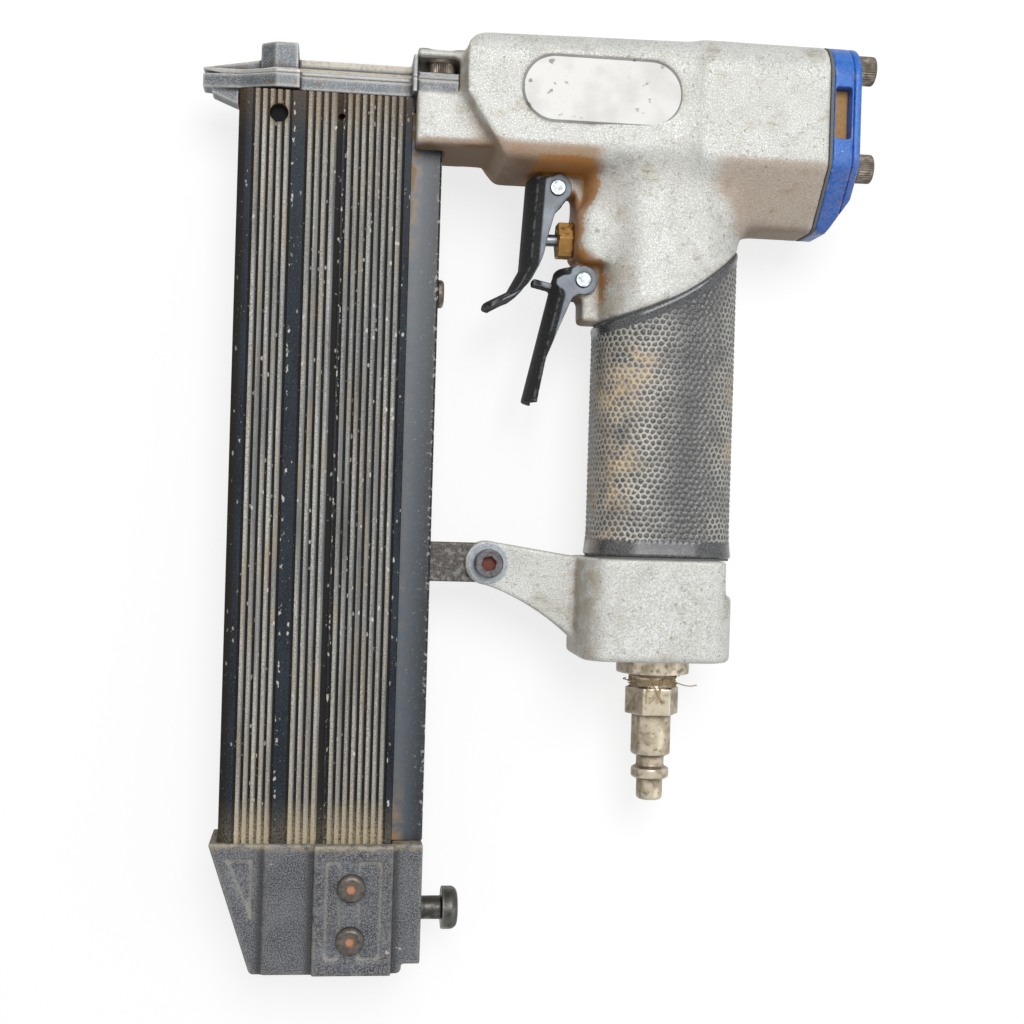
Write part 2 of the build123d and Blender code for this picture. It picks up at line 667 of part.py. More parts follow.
# Cast body: neck, handle core, barrel, head and front block in one piece
with BuildPart() as main_housing:
    # Neck with its rounded front, scooped out behind the trigger
    with BuildSketch(TOOL):
        with BuildLine():
            scoop = ThreePointArc(
                (NECK_TOP_X, BARREL_BOTTOM_Y), (NECK_ARC_X, NECK_ARC_Y), (NECK_X, NECK_FACE_Y)
            )
            Polyline(
                scoop @ 1,
                (NECK_X, NECK_BOTTOM_Y + NECK_CORNER),
                (NECK_X + NECK_CORNER, NECK_BOTTOM_Y),
                (HANDLE_X, NECK_BOTTOM_Y),
                (HANDLE_X, BARREL_BOTTOM_Y + BARREL_BOTTOM_R),
                (NECK_TOP_X, BARREL_BOTTOM_Y + BARREL_BOTTOM_R),
                scoop @ 0,
            )
        make_face()
    extrude(amount=NECK_HALF, both=True)
    front_faces = main_housing.faces().sort_by(Axis.X)[:4]
    fillet(front_faces.edges().group_by(Axis.Z)[0] + front_faces.edges().group_by(Axis.Z)[-1], NECK_EDGE_R)
    # Handle, which starts inside the barrel
    with BuildSketch(level(BARREL_BOTTOM_Y + BARREL_BOTTOM_R)):
        with Locations((HANDLE_X, 0)):
            RectangleRounded(HANDLE_DEPTH, HANDLE_THICKNESS, HANDLE_CORNER_R)
    extrude(amount=BARREL_BOTTOM_Y + BARREL_BOTTOM_R - GRIP_BOTTOM_Y)
    # Barrel, cut back at its lower front corner
    for station_x, top_y in ((BARREL_FRONT_X, BARREL_FRONT_TOP_Y), (HEAD_FRONT_X, BARREL_REAR_TOP_Y)):
        with BuildSketch(across(station_x)) as barrel:
            Polygon(*section_outline([(BARREL_HALF, BARREL_BOTTOM_Y), (BARREL_HALF, top_y)]))
            fillet(barrel.vertices().group_by(Axis.Y)[-1], BARREL_TOP_R)
            fillet(barrel.vertices().group_by(Axis.Y)[0], BARREL_BOTTOM_R)
    loft()
    with BuildSketch(TOOL):
        Polygon(
            (BARREL_FRONT_X - OVERCUT, BARREL_SLANT_Y),
            (BARREL_FRONT_X, BARREL_SLANT_Y),
            (BARREL_SLANT_X, BARREL_BOTTOM_Y),
            (BARREL_SLANT_X, BARREL_BOTTOM_Y - OVERCUT),
            (BARREL_FRONT_X - OVERCUT, BARREL_BOTTOM_Y - OVERCUT),
        )
    extrude(amount=HEAD_HALF, both=True, mode=Mode.SUBTRACT)
    # Rounded upper front corner of the barrel
    rise = (BARREL_REAR_TOP_Y - BARREL_FRONT_TOP_Y) / (HEAD_FRONT_X - BARREL_FRONT_X)
    round_x = BARREL_FRONT_X + BARREL_FRONT_R
    round_y = BARREL_FRONT_TOP_Y + rise * BARREL_FRONT_R - BARREL_FRONT_R
    with BuildSketch(TOOL):
        Polygon(*corners(BARREL_FRONT_X - OVERCUT, round_x, round_y, round_y + BARREL_FRONT_R + OVERCUT))
        with Locations((round_x, round_y)):
            Circle(BARREL_FRONT_R, mode=Mode.SUBTRACT)
    extrude(amount=HEAD_HALF, both=True, mode=Mode.SUBTRACT)
    with BuildSketch(across(HEAD_FRONT_X)) as head:
        head_outline(head)
    extrude(amount=HEAD_END_X - HEAD_FRONT_X)
    with BuildSketch(across(HEAD_FRONT_X)) as head_step:
        head_outline(head_step)
    extrude(amount=-HEAD_STEP, taper=HEAD_STEP_TAPER)
    with BuildSketch(across(BODY_FRONT_X)):
        Polygon(
            *section_outline(
                [
                    (FRONT_HALF - FRONT_BEVEL, FRONT_BOTTOM_Y),
                    (FRONT_HALF, FRONT_BOTTOM_Y + FRONT_BEVEL),
                    (FRONT_HALF, FRONT_ROOF_Y),
                    (FRONT_CREST_HALF, FRONT_CREST_Y),
                ]
            )
        )
    extrude(amount=FRONT_LENGTH)
    # Cast blends from the neck to the barrel and from the handle to the head
    root_y = TOOL.origin.Y + BARREL_BOTTOM_Y
    upright = main_housing.edges().filter_by(Axis.Z)
    root = upright.filter_by_position(Axis.Y, root_y - RUN_FIT, root_y + RUN_FIT)
    fillet(root.sort_by(Axis.X)[-1], NECK_ROOT_R)
    fillet(main_housing.edges().filter_by(GeomType.ELLIPSE).sort_by(Axis.X)[-2:], NECK_ROOT_R)
    # Narrow web that carries the trigger, the valve and the safety lever
    with BuildSketch(TOOL):
        with Locations((TRIGGER_X, TRIGGER_Y)):
            Circle(TRIGGER_EYE_R)
        with Locations((LEVER_X, LEVER_Y)):
            Circle(LEVER_LUG_R)
        Polygon(
            (TRIGGER_X - TRIGGER_EYE_R, TRIGGER_Y),
            (TRIGGER_X - TRIGGER_EYE_R, BARREL_BOTTOM_Y + OVERCUT),
            (HANDLE_X, BARREL_BOTTOM_Y + OVERCUT),
            (HANDLE_X, GRIP_FRONT_Y + RUN_FIT),
            (LEVER_X, GRIP_FRONT_Y + RUN_FIT),
            (LEVER_X, LEVER_Y + LEVER_LUG_R),
            (NECK_X, VALVE_Y - VALVE_R),
            (NECK_X, TRIGGER_Y),
        )
    extrude(amount=WEB_HALF, both=True)
    # Cylinder bore, firing chamber and the hole for the driver blade
    with BuildSketch(across(CYLINDER_FRONT_X)):
        Circle(LINER_R + HOLD_FIT)
    extrude(amount=HEAD_END_X - CYLINDER_FRONT_X, mode=Mode.SUBTRACT)
    with BuildSketch(across(CHAMBER_FRONT_X)):
        Circle(CHAMBER_R)
    extrude(amount=HEAD_END_X - CHAMBER_FRONT_X, mode=Mode.SUBTRACT)
    with BuildSketch(across(POCKET_REAR_X - OVERCUT)):
        Circle(DRIVER_HOLE_R)
    extrude(amount=CYLINDER_FRONT_X - POCKET_REAR_X + 2 * OVERCUT, mode=Mode.SUBTRACT)
    # Airway of the handle and its port into the firing chamber
    with BuildSketch(level(AIRWAY_TOP_Y)):
        with Locations((HANDLE_X, 0)):
            RectangleRounded(AIRWAY_DEPTH, AIRWAY_THICKNESS, AIRWAY_CORNER_R)
    extrude(amount=AIRWAY_TOP_Y - GRIP_BOTTOM_Y, mode=Mode.SUBTRACT)
    with BuildSketch(TOOL):
        port_x = HANDLE_X + AIRWAY_DEPTH / 2 - AIRWAY_CORNER_R
        Polygon(
            (port_x, AIRWAY_TOP_Y - AIR_PORT_HEIGHT),
            (port_x + AIR_PORT_LENGTH, AIRWAY_TOP_Y - AIR_PORT_HEIGHT),
            (port_x + AIR_PORT_LENGTH, -CHAMBER_R / 2),
            (CHAMBER_FRONT_X + OVERCUT, -CHAMBER_R / 2),
            (CHAMBER_FRONT_X + OVERCUT, AIRWAY_TOP_Y),
            (port_x, AIRWAY_TOP_Y),
        )
    extrude(amount=AIR_PORT_HALF, both=True, mode=Mode.SUBTRACT)
    # Pocket for the foot of the nose, with key holes in its roof and threads in its floor
    with BuildSketch(TOOL):
        Polygon(
            (BODY_FRONT_X - OVERCUT, NOSE_BOTTOM_Y),
            (POCKET_REAR_X, NOSE_BOTTOM_Y),
            (POCKET_REAR_X, POCKET_ROOF_Y),
            (BODY_FRONT_X - OVERCUT, POCKET_ROOF_Y),
        )
    extrude(amount=FRONT_HALF + OVERCUT, both=True, mode=Mode.SUBTRACT)
    with BuildSketch(level(FRONT_CREST_Y + OVERCUT)):
        with Locations(*NOSE_SCREW_PLACES):
            Circle(NOSE_SCREW_HEAD_R + SEAT_GAP)
    extrude(amount=FRONT_CREST_Y + OVERCUT - NOSE_BOTTOM_Y, mode=Mode.SUBTRACT)
    with BuildSketch(level(NOSE_BOTTOM_Y)):
        with Locations(*NOSE_SCREW_PLACES):
            Circle(NOSE_SCREW_R + HOLD_FIT)
    extrude(amount=NOSE_SCREW_DEPTH + SEAT_GAP, mode=Mode.SUBTRACT)
    # Seat of the magazine rail and its blind dowel hole from the lower flank
    with BuildSketch(level(RAIL_TOP_Y + HOLD_FIT)):
        Polygon(
            *plan_outline(
                [
                    (BODY_FRONT_X - OVERCUT, RAIL_HALF + HOLD_FIT),
                    (RAIL_EDGE_X + HOLD_FIT, RAIL_HALF + HOLD_FIT),
                ]
            )
        )
    extrude(amount=RAIL_TOP_Y - FRONT_BOTTOM_Y + OVERCUT, mode=Mode.SUBTRACT)
    with BuildSketch(flank(-FRONT_HALF)):
        with Locations((DOWEL_X, DOWEL_Y)):
            Circle(DOWEL_R + HOLD_FIT)
    extrude(amount=DOWEL_DEPTH + SEAT_GAP, mode=Mode.SUBTRACT)
    # Recess for the oval label
    with BuildSketch(flank(BARREL_HALF - LABEL_RECESS)):
        with Locations((LABEL_X, LABEL_Y)):
            SlotOverall(LABEL_LENGTH + 2 * SEAT_GAP, LABEL_WIDTH + 2 * SEAT_GAP)
    extrude(amount=LABEL_RECESS + OVERCUT, mode=Mode.SUBTRACT)
    # Bore of the trigger valve, through to the airway
    with BuildSketch(across(NECK_X - OVERCUT, VALVE_Y)):
        Circle(VALVE_R + HOLD_FIT)
    extrude(amount=HANDLE_X - NECK_X + OVERCUT, mode=Mode.SUBTRACT)
    # Pin holes of the trigger and the lever
    with BuildSketch(flank(-WEB_HALF)):
        with Locations((TRIGGER_X, TRIGGER_Y), (LEVER_X, LEVER_Y)):
            Circle(PIVOT_PIN_R + HOLD_FIT)
    extrude(amount=2 * WEB_HALF, mode=Mode.SUBTRACT)
    # Threads for the cap screws and the tail screws
    with BuildSketch(across(HEAD_END_X - CAP_SCREW_BITE - SEAT_GAP)):
        with Locations(*CAP_SCREW_PLACES):
            Circle(CAP_SCREW_R + HOLD_FIT)
    extrude(amount=CAP_SCREW_BITE + SEAT_GAP, mode=Mode.SUBTRACT)
    with BuildSketch(level(GRIP_BOTTOM_Y + TAIL_SCREW_BITE + SEAT_GAP)):
        with Locations(*TAIL_SCREW_PLACES):
            Circle(TAIL_SCREW_R + HOLD_FIT)
    extrude(amount=TAIL_SCREW_BITE + SEAT_GAP, mode=Mode.SUBTRACT)
    # Step that the rubber sleeve lies in
    add(grip_sleeve.part, mode=Mode.SUBTRACT)
save(main_housing, "main_housing")

# Bare oval plate bonded into the flank
with BuildPart() as label_plate:
    with BuildSketch(flank(BARREL_HALF - LABEL_RECESS)):
        with Locations((LABEL_X, LABEL_Y)):
            SlotOverall(LABEL_LENGTH, LABEL_WIDTH)
    extrude(amount=LABEL_THICKNESS)
save(label_plate, "label_plate")

# Cylinder liner in the barrel
with BuildPart() as cylinder_liner:
    with BuildSketch(across(CYLINDER_FRONT_X)):
        Circle(LINER_R)
        Circle(CYLINDER_BORE_R, mode=Mode.SUBTRACT)
    extrude(amount=CYLINDER_REAR_X - CYLINDER_FRONT_X)
save(cylinder_liner, "cylinder_liner")

# Rubber bumper that stops the piston
with BuildPart() as bumper:
    with BuildSketch(across(CYLINDER_FRONT_X)):
        Circle(CYLINDER_BORE_R - SEAT_GAP)
        Circle(BUMPER_HOLE_R, mode=Mode.SUBTRACT)
    extrude(amount=BUMPER_LENGTH)
save(bumper, "bumper")

# Piston with its hub in front
with BuildPart() as piston:
    with BuildSketch(TOOL):
        Polygon(
            (PISTON_HUB_X, 0),
            (PISTON_HUB_X, PISTON_HUB_R),
            (PISTON_FRONT_X, PISTON_HUB_R),
            (PISTON_FRONT_X, PISTON_R),
            *ring_groove(PISTON_RING_X, PISTON_R, O_RING_WIRE_R),
            (PISTON_REAR_X, PISTON_R),
            (PISTON_REAR_X, 0),
        )
    revolve(axis=axis_at(0, 0, ALONG_X))
    with BuildSketch(across(PISTON_HUB_X)):
        Rectangle(BLADE_WIDTH + 2 * HOLD_FIT, BLADE_HEIGHT + 2 * HOLD_FIT)
    extrude(amount=BLADE_BITE, mode=Mode.SUBTRACT)
save(piston, "piston")

piston_o_ring = o_rings(PISTON_RING_X, 0, PISTON_R - O_RING_WIRE_R, O_RING_WIRE_R, (0,))
save(piston_o_ring, "piston_o_ring")

# Driver blade held in the hub of the piston
with BuildPart() as driver_blade:
    with BuildSketch(across(BLADE_TIP_X)):
        Rectangle(BLADE_WIDTH, BLADE_HEIGHT)
    extrude(amount=PISTON_HUB_X + BLADE_BITE - BLADE_TIP_X)
save(driver_blade, "driver_blade")

# Firing valve that closes the cylinder, with its stem in the exhaust cap
with BuildPart() as head_valve:
    with BuildSketch(TOOL):
        Polygon(
            (VALVE_SEAT_X, HEAD_VALVE_BORE_R),
            (VALVE_SEAT_X, HEAD_VALVE_R),
            (VALVE_BACK_X, HEAD_VALVE_R),
            (VALVE_BACK_X, HEAD_VALVE_STEM_R),
            *ring_groove(HEAD_RING_X, HEAD_VALVE_STEM_R, HEAD_RING_WIRE_R),
            (VALVE_STEM_END_X, HEAD_VALVE_STEM_R),
            (VALVE_STEM_END_X, HEAD_VALVE_BORE_R),
        )
    revolve(axis=axis_at(0, 0, ALONG_X))
save(head_valve, "head_valve")

head_valve_o_ring = o_rings(HEAD_RING_X, 0, HEAD_VALVE_STEM_R - HEAD_RING_WIRE_R, HEAD_RING_WIRE_R, (0,))
save(head_valve_o_ring, "head_valve_o_ring")

head_valve_spring = coil(
    "head_valve_spring", (VALVE_BACK_X, 0, 0), ALONG_X, UP_Y, HEAD_SPRING_R, HEAD_SPRING_LENGTH
)
save(head_valve_spring, "head_valve_spring")

# Gasket between the head and the blue castings
with BuildPart() as cap_gasket:
    with BuildSketch(across(HEAD_END_X)) as gasket_face:
        head_outline(gasket_face)
        Circle(CHAMBER_R, mode=Mode.SUBTRACT)
        with Locations(*CAP_SCREW_PLACES):
            Circle(CAP_SCREW_R + HOLD_FIT, mode=Mode.SUBTRACT)
    extrude(amount=GASKET_THICKNESS)
save(cap_gasket, "cap_gasket")

# Blue exhaust cap: valve bore, exhaust pockets in both flanks and the duct between them
with BuildPart() as exhaust_cap:
    with BuildSketch(across(CAP_X)) as cap_face:
        head_outline(cap_face)
        Circle(HEAD_VALVE_STEM_R + RUN_FIT, mode=Mode.SUBTRACT)
        with Locations(*CAP_SCREW_PLACES):
            Circle(CAP_SCREW_R + HOLD_FIT, mode=Mode.SUBTRACT)
    extrude(amount=CAP_DEPTH)
    for side in (-1, 1):
        with BuildSketch(flank(side * (HEAD_HALF - EXHAUST_POCKET))):
            Polygon(*corners(CAP_X + EXHAUST_WALL, COVER_X - EXHAUST_WALL, EXHAUST_BOTTOM_Y, EXHAUST_TOP_Y))
        extrude(amount=side * (EXHAUST_POCKET + OVERCUT), mode=Mode.SUBTRACT)
    with BuildSketch(TOOL):
        with Locations((CAP_X + CAP_DEPTH / 2, EXHAUST_DUCT_Y)):
            Circle(EXHAUST_DUCT_R)
    extrude(amount=HEAD_HALF - EXHAUST_POCKET, both=True, mode=Mode.SUBTRACT)
    with BuildSketch(TOOL):
        Polygon(*below_slant())
    extrude(amount=HEAD_HALF, both=True, mode=Mode.SUBTRACT)
save(exhaust_cap, "exhaust_cap")

# Filter pads at the bottom of the exhaust pockets
with BuildPart() as exhaust_filter:
    for side in (-1, 1):
        with BuildSketch(flank(side * (HEAD_HALF - EXHAUST_POCKET))):
            pad_left = CAP_X + EXHAUST_WALL + SEAT_GAP
            pad_right = COVER_X - EXHAUST_WALL - SEAT_GAP
            Polygon(*corners(pad_left, pad_right, EXHAUST_BOTTOM_Y + SEAT_GAP, EXHAUST_TOP_Y - SEAT_GAP))
        extrude(amount=side * FILTER_THICKNESS)
save(exhaust_filter, "exhaust_filter")

# Blue cover plate with its crowned middle
with BuildPart() as exhaust_cover:
    with BuildSketch(across(COVER_X)) as cover_face:
        head_outline(cover_face)
        with Locations(*CAP_SCREW_PLACES):
            Circle(CAP_SCREW_R + HOLD_FIT, mode=Mode.SUBTRACT)
    extrude(amount=COVER_EDGE)
    with BuildSketch(across(COVER_FACE_X)) as crown:
        Polygon(
            *section_outline(
                [
                    (HEAD_BOTTOM_HALF - COVER_CROWN_INSET, HEAD_BOTTOM_Y + COVER_CROWN_INSET),
                    (COVER_CROWN_HALF, CAP_SCREW_LOW_Y - COVER_CROWN_HALF),
                    (COVER_CROWN_HALF, HEAD_TOP_Y - COVER_CROWN_INSET),
                ]
            )
        )
        fillet(crown.vertices(), COVER_CROWN_R)
    extrude(amount=COVER_CROWN, taper=COVER_CROWN_TAPER)
    with BuildSketch(TOOL):
        Polygon(*below_slant())
    extrude(amount=HEAD_HALF, both=True, mode=Mode.SUBTRACT)
save(exhaust_cover, "exhaust_cover")

cap_screws = socket_screws(
    across(COVER_FACE_X),
    CAP_SCREW_PLACES,
    (CAP_SCREW_R, COVER_FACE_X - HEAD_END_X + CAP_SCREW_BITE),
    (CAP_SCREW_HEAD_R, CAP_SCREW_HEAD_H),
    HEX_KEY_LARGE,
    SCREW_EDGE_R,
)
save(cap_screws, "cap_screws")

# Lower nose plate: blade channel, pin slot, flange, foot and the lip in front of the magazine
with BuildPart() as nose_guide:
    with BuildSketch(level(NOSE_SEAM_Y)):
        Polygon(
            *plan_outline(
                NOSE_PLAN
                + [
                    (FLANGE_X, NOSE_BAR_HALF),
                    (FLANGE_X, NOSE_FLANGE_HALF),
                    (BODY_FRONT_X, NOSE_FLANGE_HALF),
                    (BODY_FRONT_X, NOSE_FOOT_HALF),
                    (POCKET_REAR_X, NOSE_FOOT_HALF),
                ]
            )
        )
        with Locations(*NOSE_SCREW_PLACES):
            Circle(NOSE_SCREW_R + HOLD_FIT, mode=Mode.SUBTRACT)
    extrude(amount=NOSE_SEAM_Y - NOSE_BOTTOM_Y)
    with BuildSketch(TOOL):
        lip_x = SHELL_LEFT_X - SLIDE_GAP
        Polygon(
            (NOSE_LIP_X, NOSE_BOTTOM_Y),
            (lip_x, NOSE_BOTTOM_Y),
            (lip_x, NOSE_BOTTOM_Y - NOSE_LIP_DROP),
            (NOSE_LIP_X, NOSE_BOTTOM_Y - NOSE_LIP_DROP / 3),
        )
    extrude(amount=NOSE_TIP_HALF, both=True)
    with BuildSketch(across(0)):
        Rectangle(BLADE_WIDTH + 2 * BLADE_PLAY, 2 * NOSE_SEAM_Y)
    extrude(amount=POCKET_REAR_X, mode=Mode.SUBTRACT)
    with BuildSketch(level(0)):
        Polygon(*corners(SHELL_LEFT_X, RAIL_STRIP_X, -PIN_SLOT_HALF, PIN_SLOT_HALF))
    extrude(amount=-NOSE_BOTTOM_Y, mode=Mode.SUBTRACT)
save(nose_guide, "nose_guide")

# Upper nose plate: tapered tip, ridge, post, flange and foot
with BuildPart() as nose_cover:
    with BuildSketch(roof(NOSE_SEAM_Y)):
        Polygon(*plan_outline(NOSE_PLAN))
    extrude(amount=NOSE_BLOCK_TOP_Y - NOSE_SEAM_Y)
    with BuildSketch(TOOL):
        Polygon(
            (0, NOSE_SEAM_Y),
            (0, NOSE_TIP_Y),
            (NOSE_BLOCK_X, NOSE_TOP_Y),
            (NOSE_BLOCK_END_X, NOSE_TOP_Y),
            (NOSE_BLOCK_END_X, NOSE_SEAM_Y),
        )
    extrude(amount=NOSE_TOP_HALF, both=True)
    with BuildSketch(across(NOSE_BLOCK_END_X)):
        Polygon(
            *section_outline(
                [
                    (NOSE_BAR_HALF, NOSE_SEAM_Y),
                    (NOSE_BAR_HALF, NOSE_BLOCK_TOP_Y),
                    (NOSE_TOP_HALF, NOSE_BEVEL_Y),
                    (NOSE_TOP_HALF, NOSE_TOP_Y),
                ]
            )
        )
    extrude(amount=FLANGE_X - NOSE_BLOCK_END_X)
    with BuildSketch(roof(NOSE_SEAM_Y)):
        Polygon(
            *plan_outline(
                [
                    (POST_START_X, POST_START_HALF),
                    (POST_FACE_X, POST_HALF),
                    (POST_END_X, POST_HALF),
                ]
            )
        )
    extrude(amount=POST_TOP_Y - NOSE_SEAM_Y)
    fillet(nose_cover.faces().sort_by(Axis.Y)[-1].edges(), POST_EDGE_R)
    with BuildSketch(roof(NOSE_SEAM_Y)):
        Polygon(*plan_outline([(FLANGE_X, NOSE_FLANGE_HALF), (BODY_FRONT_X, NOSE_FLANGE_HALF)]))
    extrude(amount=NOSE_FLANGE_TOP_Y - NOSE_SEAM_Y)
    with BuildSketch(roof(NOSE_SEAM_Y)):
        Polygon(*plan_outline([(BODY_FRONT_X, NOSE_FOOT_HALF), (POCKET_REAR_X, NOSE_FOOT_HALF)]))
        with Locations(*NOSE_SCREW_PLACES):
            Circle(NOSE_SCREW_R + HOLD_FIT, mode=Mode.SUBTRACT)
    extrude(amount=NOSE_FOOT_TOP_Y - NOSE_SEAM_Y)
    with BuildSketch(TOOL):
        Polygon(
            (0, NOSE_SEAM_Y),
            (NOSE_SLIT_LENGTH, NOSE_SEAM_Y),
            (0, NOSE_SEAM_Y + NOSE_SLIT_HEIGHT),
        )
    extrude(amount=NOSE_BLOCK_HALF, both=True, mode=Mode.SUBTRACT)
save(nose_cover, "nose_cover")

nose_screws = socket_screws(
    roof(NOSE_FOOT_TOP_Y),
    NOSE_SCREW_PLACES,
    (NOSE_SCREW_R, NOSE_FOOT_TOP_Y - NOSE_BOTTOM_Y + NOSE_SCREW_DEPTH),
    (NOSE_SCREW_HEAD_R, NOSE_SCREW_HEAD_H),
    HEX_KEY_LARGE,
    SCREW_EDGE_R,
)
save(nose_screws, "nose_screws")

# Trigger: folded steel channel that hangs over its lug
with BuildPart() as trigger:
    with BuildSketch(TOOL):
        Polygon(*from_pivot((TRIGGER_X, TRIGGER_Y), TRIGGER_OUTLINE))
        with Locations((TRIGGER_X, TRIGGER_Y)):
            Circle(TRIGGER_EYE_R)
    extrude(amount=CHANNEL_HALF, both=True)
    with BuildSketch(TOOL):
        Polygon(*from_pivot((TRIGGER_X, TRIGGER_Y), TRIGGER_HOLLOW))
    extrude(amount=CHANNEL_HALF - CHANNEL_WALL, both=True, mode=Mode.SUBTRACT)
    with BuildSketch(TOOL):
        with Locations((TRIGGER_X, TRIGGER_Y)):
            Circle(PIVOT_PIN_R + RUN_FIT)
    extrude(amount=CHANNEL_HALF, both=True, mode=Mode.SUBTRACT)
save(trigger, "trigger")

# Safety lever with the strut that frees the trigger
with BuildPart() as safety_lever:
    with BuildSketch(TOOL):
        Polygon(*from_pivot((LEVER_X, LEVER_Y), LEVER_OUTLINE))
        with Locations((LEVER_X, LEVER_Y)):
            Circle(LEVER_EYE_R)
    extrude(amount=CHANNEL_HALF, both=True)
    with BuildSketch(TOOL):
        Polygon(*from_pivot((LEVER_X, LEVER_Y), LEVER_HOLLOW))
    extrude(amount=CHANNEL_HALF - CHANNEL_WALL, both=True, mode=Mode.SUBTRACT)
    with BuildSketch(TOOL):
        Polygon(*from_pivot((LEVER_X, LEVER_Y), STRUT_OUTLINE))
    extrude(amount=STRUT_HALF, both=True)
    with BuildSketch(TOOL):
        with Locations((LEVER_X, LEVER_Y)):
            Circle(PIVOT_PIN_R + RUN_FIT)
    extrude(amount=CHANNEL_HALF, both=True, mode=Mode.SUBTRACT)
save(safety_lever, "safety_lever")

# Pivot pins held in the web
with BuildPart() as trigger_pin:
    with BuildSketch(TOOL):
        with Locations((TRIGGER_X, TRIGGER_Y)):
            Circle(PIVOT_PIN_R)
    extrude(amount=CHANNEL_HALF + PIVOT_PIN_PROUD, both=True)
save(trigger_pin, "trigger_pin")

with BuildPart() as lever_pin:
    with BuildSketch(TOOL):
        with Locations((LEVER_X, LEVER_Y)):
            Circle(PIVOT_PIN_R)
    extrude(amount=CHANNEL_HALF + PIVOT_PIN_PROUD, both=True)
save(lever_pin, "lever_pin")

# Trigger valve: brass housing, rings, stem, spring and plug
with BuildPart() as valve_housing:
    with BuildSketch(TOOL):
        rings = [
            ring_groove(VALVE_FRONT_X + place, VALVE_R, VALVE_RING_WIRE_R) for place in VALVE_RING_PLACES
        ]
        Polygon(
            *along_x(
                VALVE_Y,
                [
                    (VALVE_FRONT_X, STEM_R + RUN_FIT),
                    (VALVE_FRONT_X, VALVE_R),
                    *rings[0],
                    *rings[1],
                    (VALVE_REAR_X, VALVE_R),
                    (VALVE_REAR_X, VALVE_BORE_R),
                    (VALVE_STEP_X, VALVE_BORE_R),
                    (VALVE_STEP_X, STEM_R + RUN_FIT),
                ],
            )
        )
    revolve(axis=axis_at(0, VALVE_Y, ALONG_X))
    with BuildSketch(across(VALVE_FRONT_X, VALVE_Y)):
        RegularPolygon(VALVE_HEX_FLATS / 2, 6, major_radius=False)
        Circle(STEM_R + RUN_FIT, mode=Mode.SUBTRACT)
    extrude(amount=NECK_X - VALVE_FRONT_X)
save(valve_housing, "valve_housing")

valve_o_rings = o_rings(
    VALVE_FRONT_X, VALVE_Y, VALVE_R - VALVE_RING_WIRE_R, VALVE_RING_WIRE_R, VALVE_RING_PLACES
)
save(valve_o_rings, "valve_o_rings")

with BuildPart() as valve_stem:
    with BuildSketch(TOOL):
        Polygon(
            *along_x(
                VALVE_Y,
                [
                    (STEM_TIP_X, 0),
                    (STEM_TIP_X, STEM_TAIL_R),
                    (STEM_TIP_X + STEM_R - STEM_TAIL_R, STEM_R),
                    (STEM_LAND_X, STEM_R),
                    (STEM_LAND_X, VALVE_BORE_R - RUN_FIT),
                    (STEM_TAIL_X, VALVE_BORE_R - RUN_FIT),
                    (STEM_TAIL_X, STEM_TAIL_R),
                    (STEM_TAIL_X + STEM_TAIL_LENGTH, STEM_TAIL_R),
                    (STEM_TAIL_X + STEM_TAIL_LENGTH, 0),
                ],
            )
        )
    revolve(axis=axis_at(0, VALVE_Y, ALONG_X))
save(valve_stem, "valve_stem")

valve_spring = coil(
    "valve_spring", (STEM_TAIL_X, VALVE_Y, 0), ALONG_X, UP_Y, VALVE_SPRING_R, VALVE_SPRING_LENGTH
)
save(valve_spring, "valve_spring")

with BuildPart() as valve_plug:
    with BuildSketch(across(VALVE_PLUG_X, VALVE_Y)):
        Circle(VALVE_BORE_R - HOLD_FIT)
        Circle(VALVE_PLUG_BORE_R, mode=Mode.SUBTRACT)
    extrude(amount=VALVE_PLUG_LENGTH)
save(valve_plug, "valve_plug")

# Gasket under the handle
with BuildPart() as tail_gasket:
    with BuildSketch(level(GRIP_BOTTOM_Y)):
        with Locations((HANDLE_X, 0)):
            RectangleRounded(HANDLE_DEPTH, HANDLE_THICKNESS, HANDLE_CORNER_R)
            RectangleRounded(AIRWAY_DEPTH, AIRWAY_THICKNESS, AIRWAY_CORNER_R, mode=Mode.SUBTRACT)
        with Locations(*TAIL_SCREW_PLACES):
            Circle(TAIL_SCREW_R + HOLD_FIT, mode=Mode.SUBTRACT)
    extrude(amount=TAIL_GASKET)
save(tail_gasket, "tail_gasket")

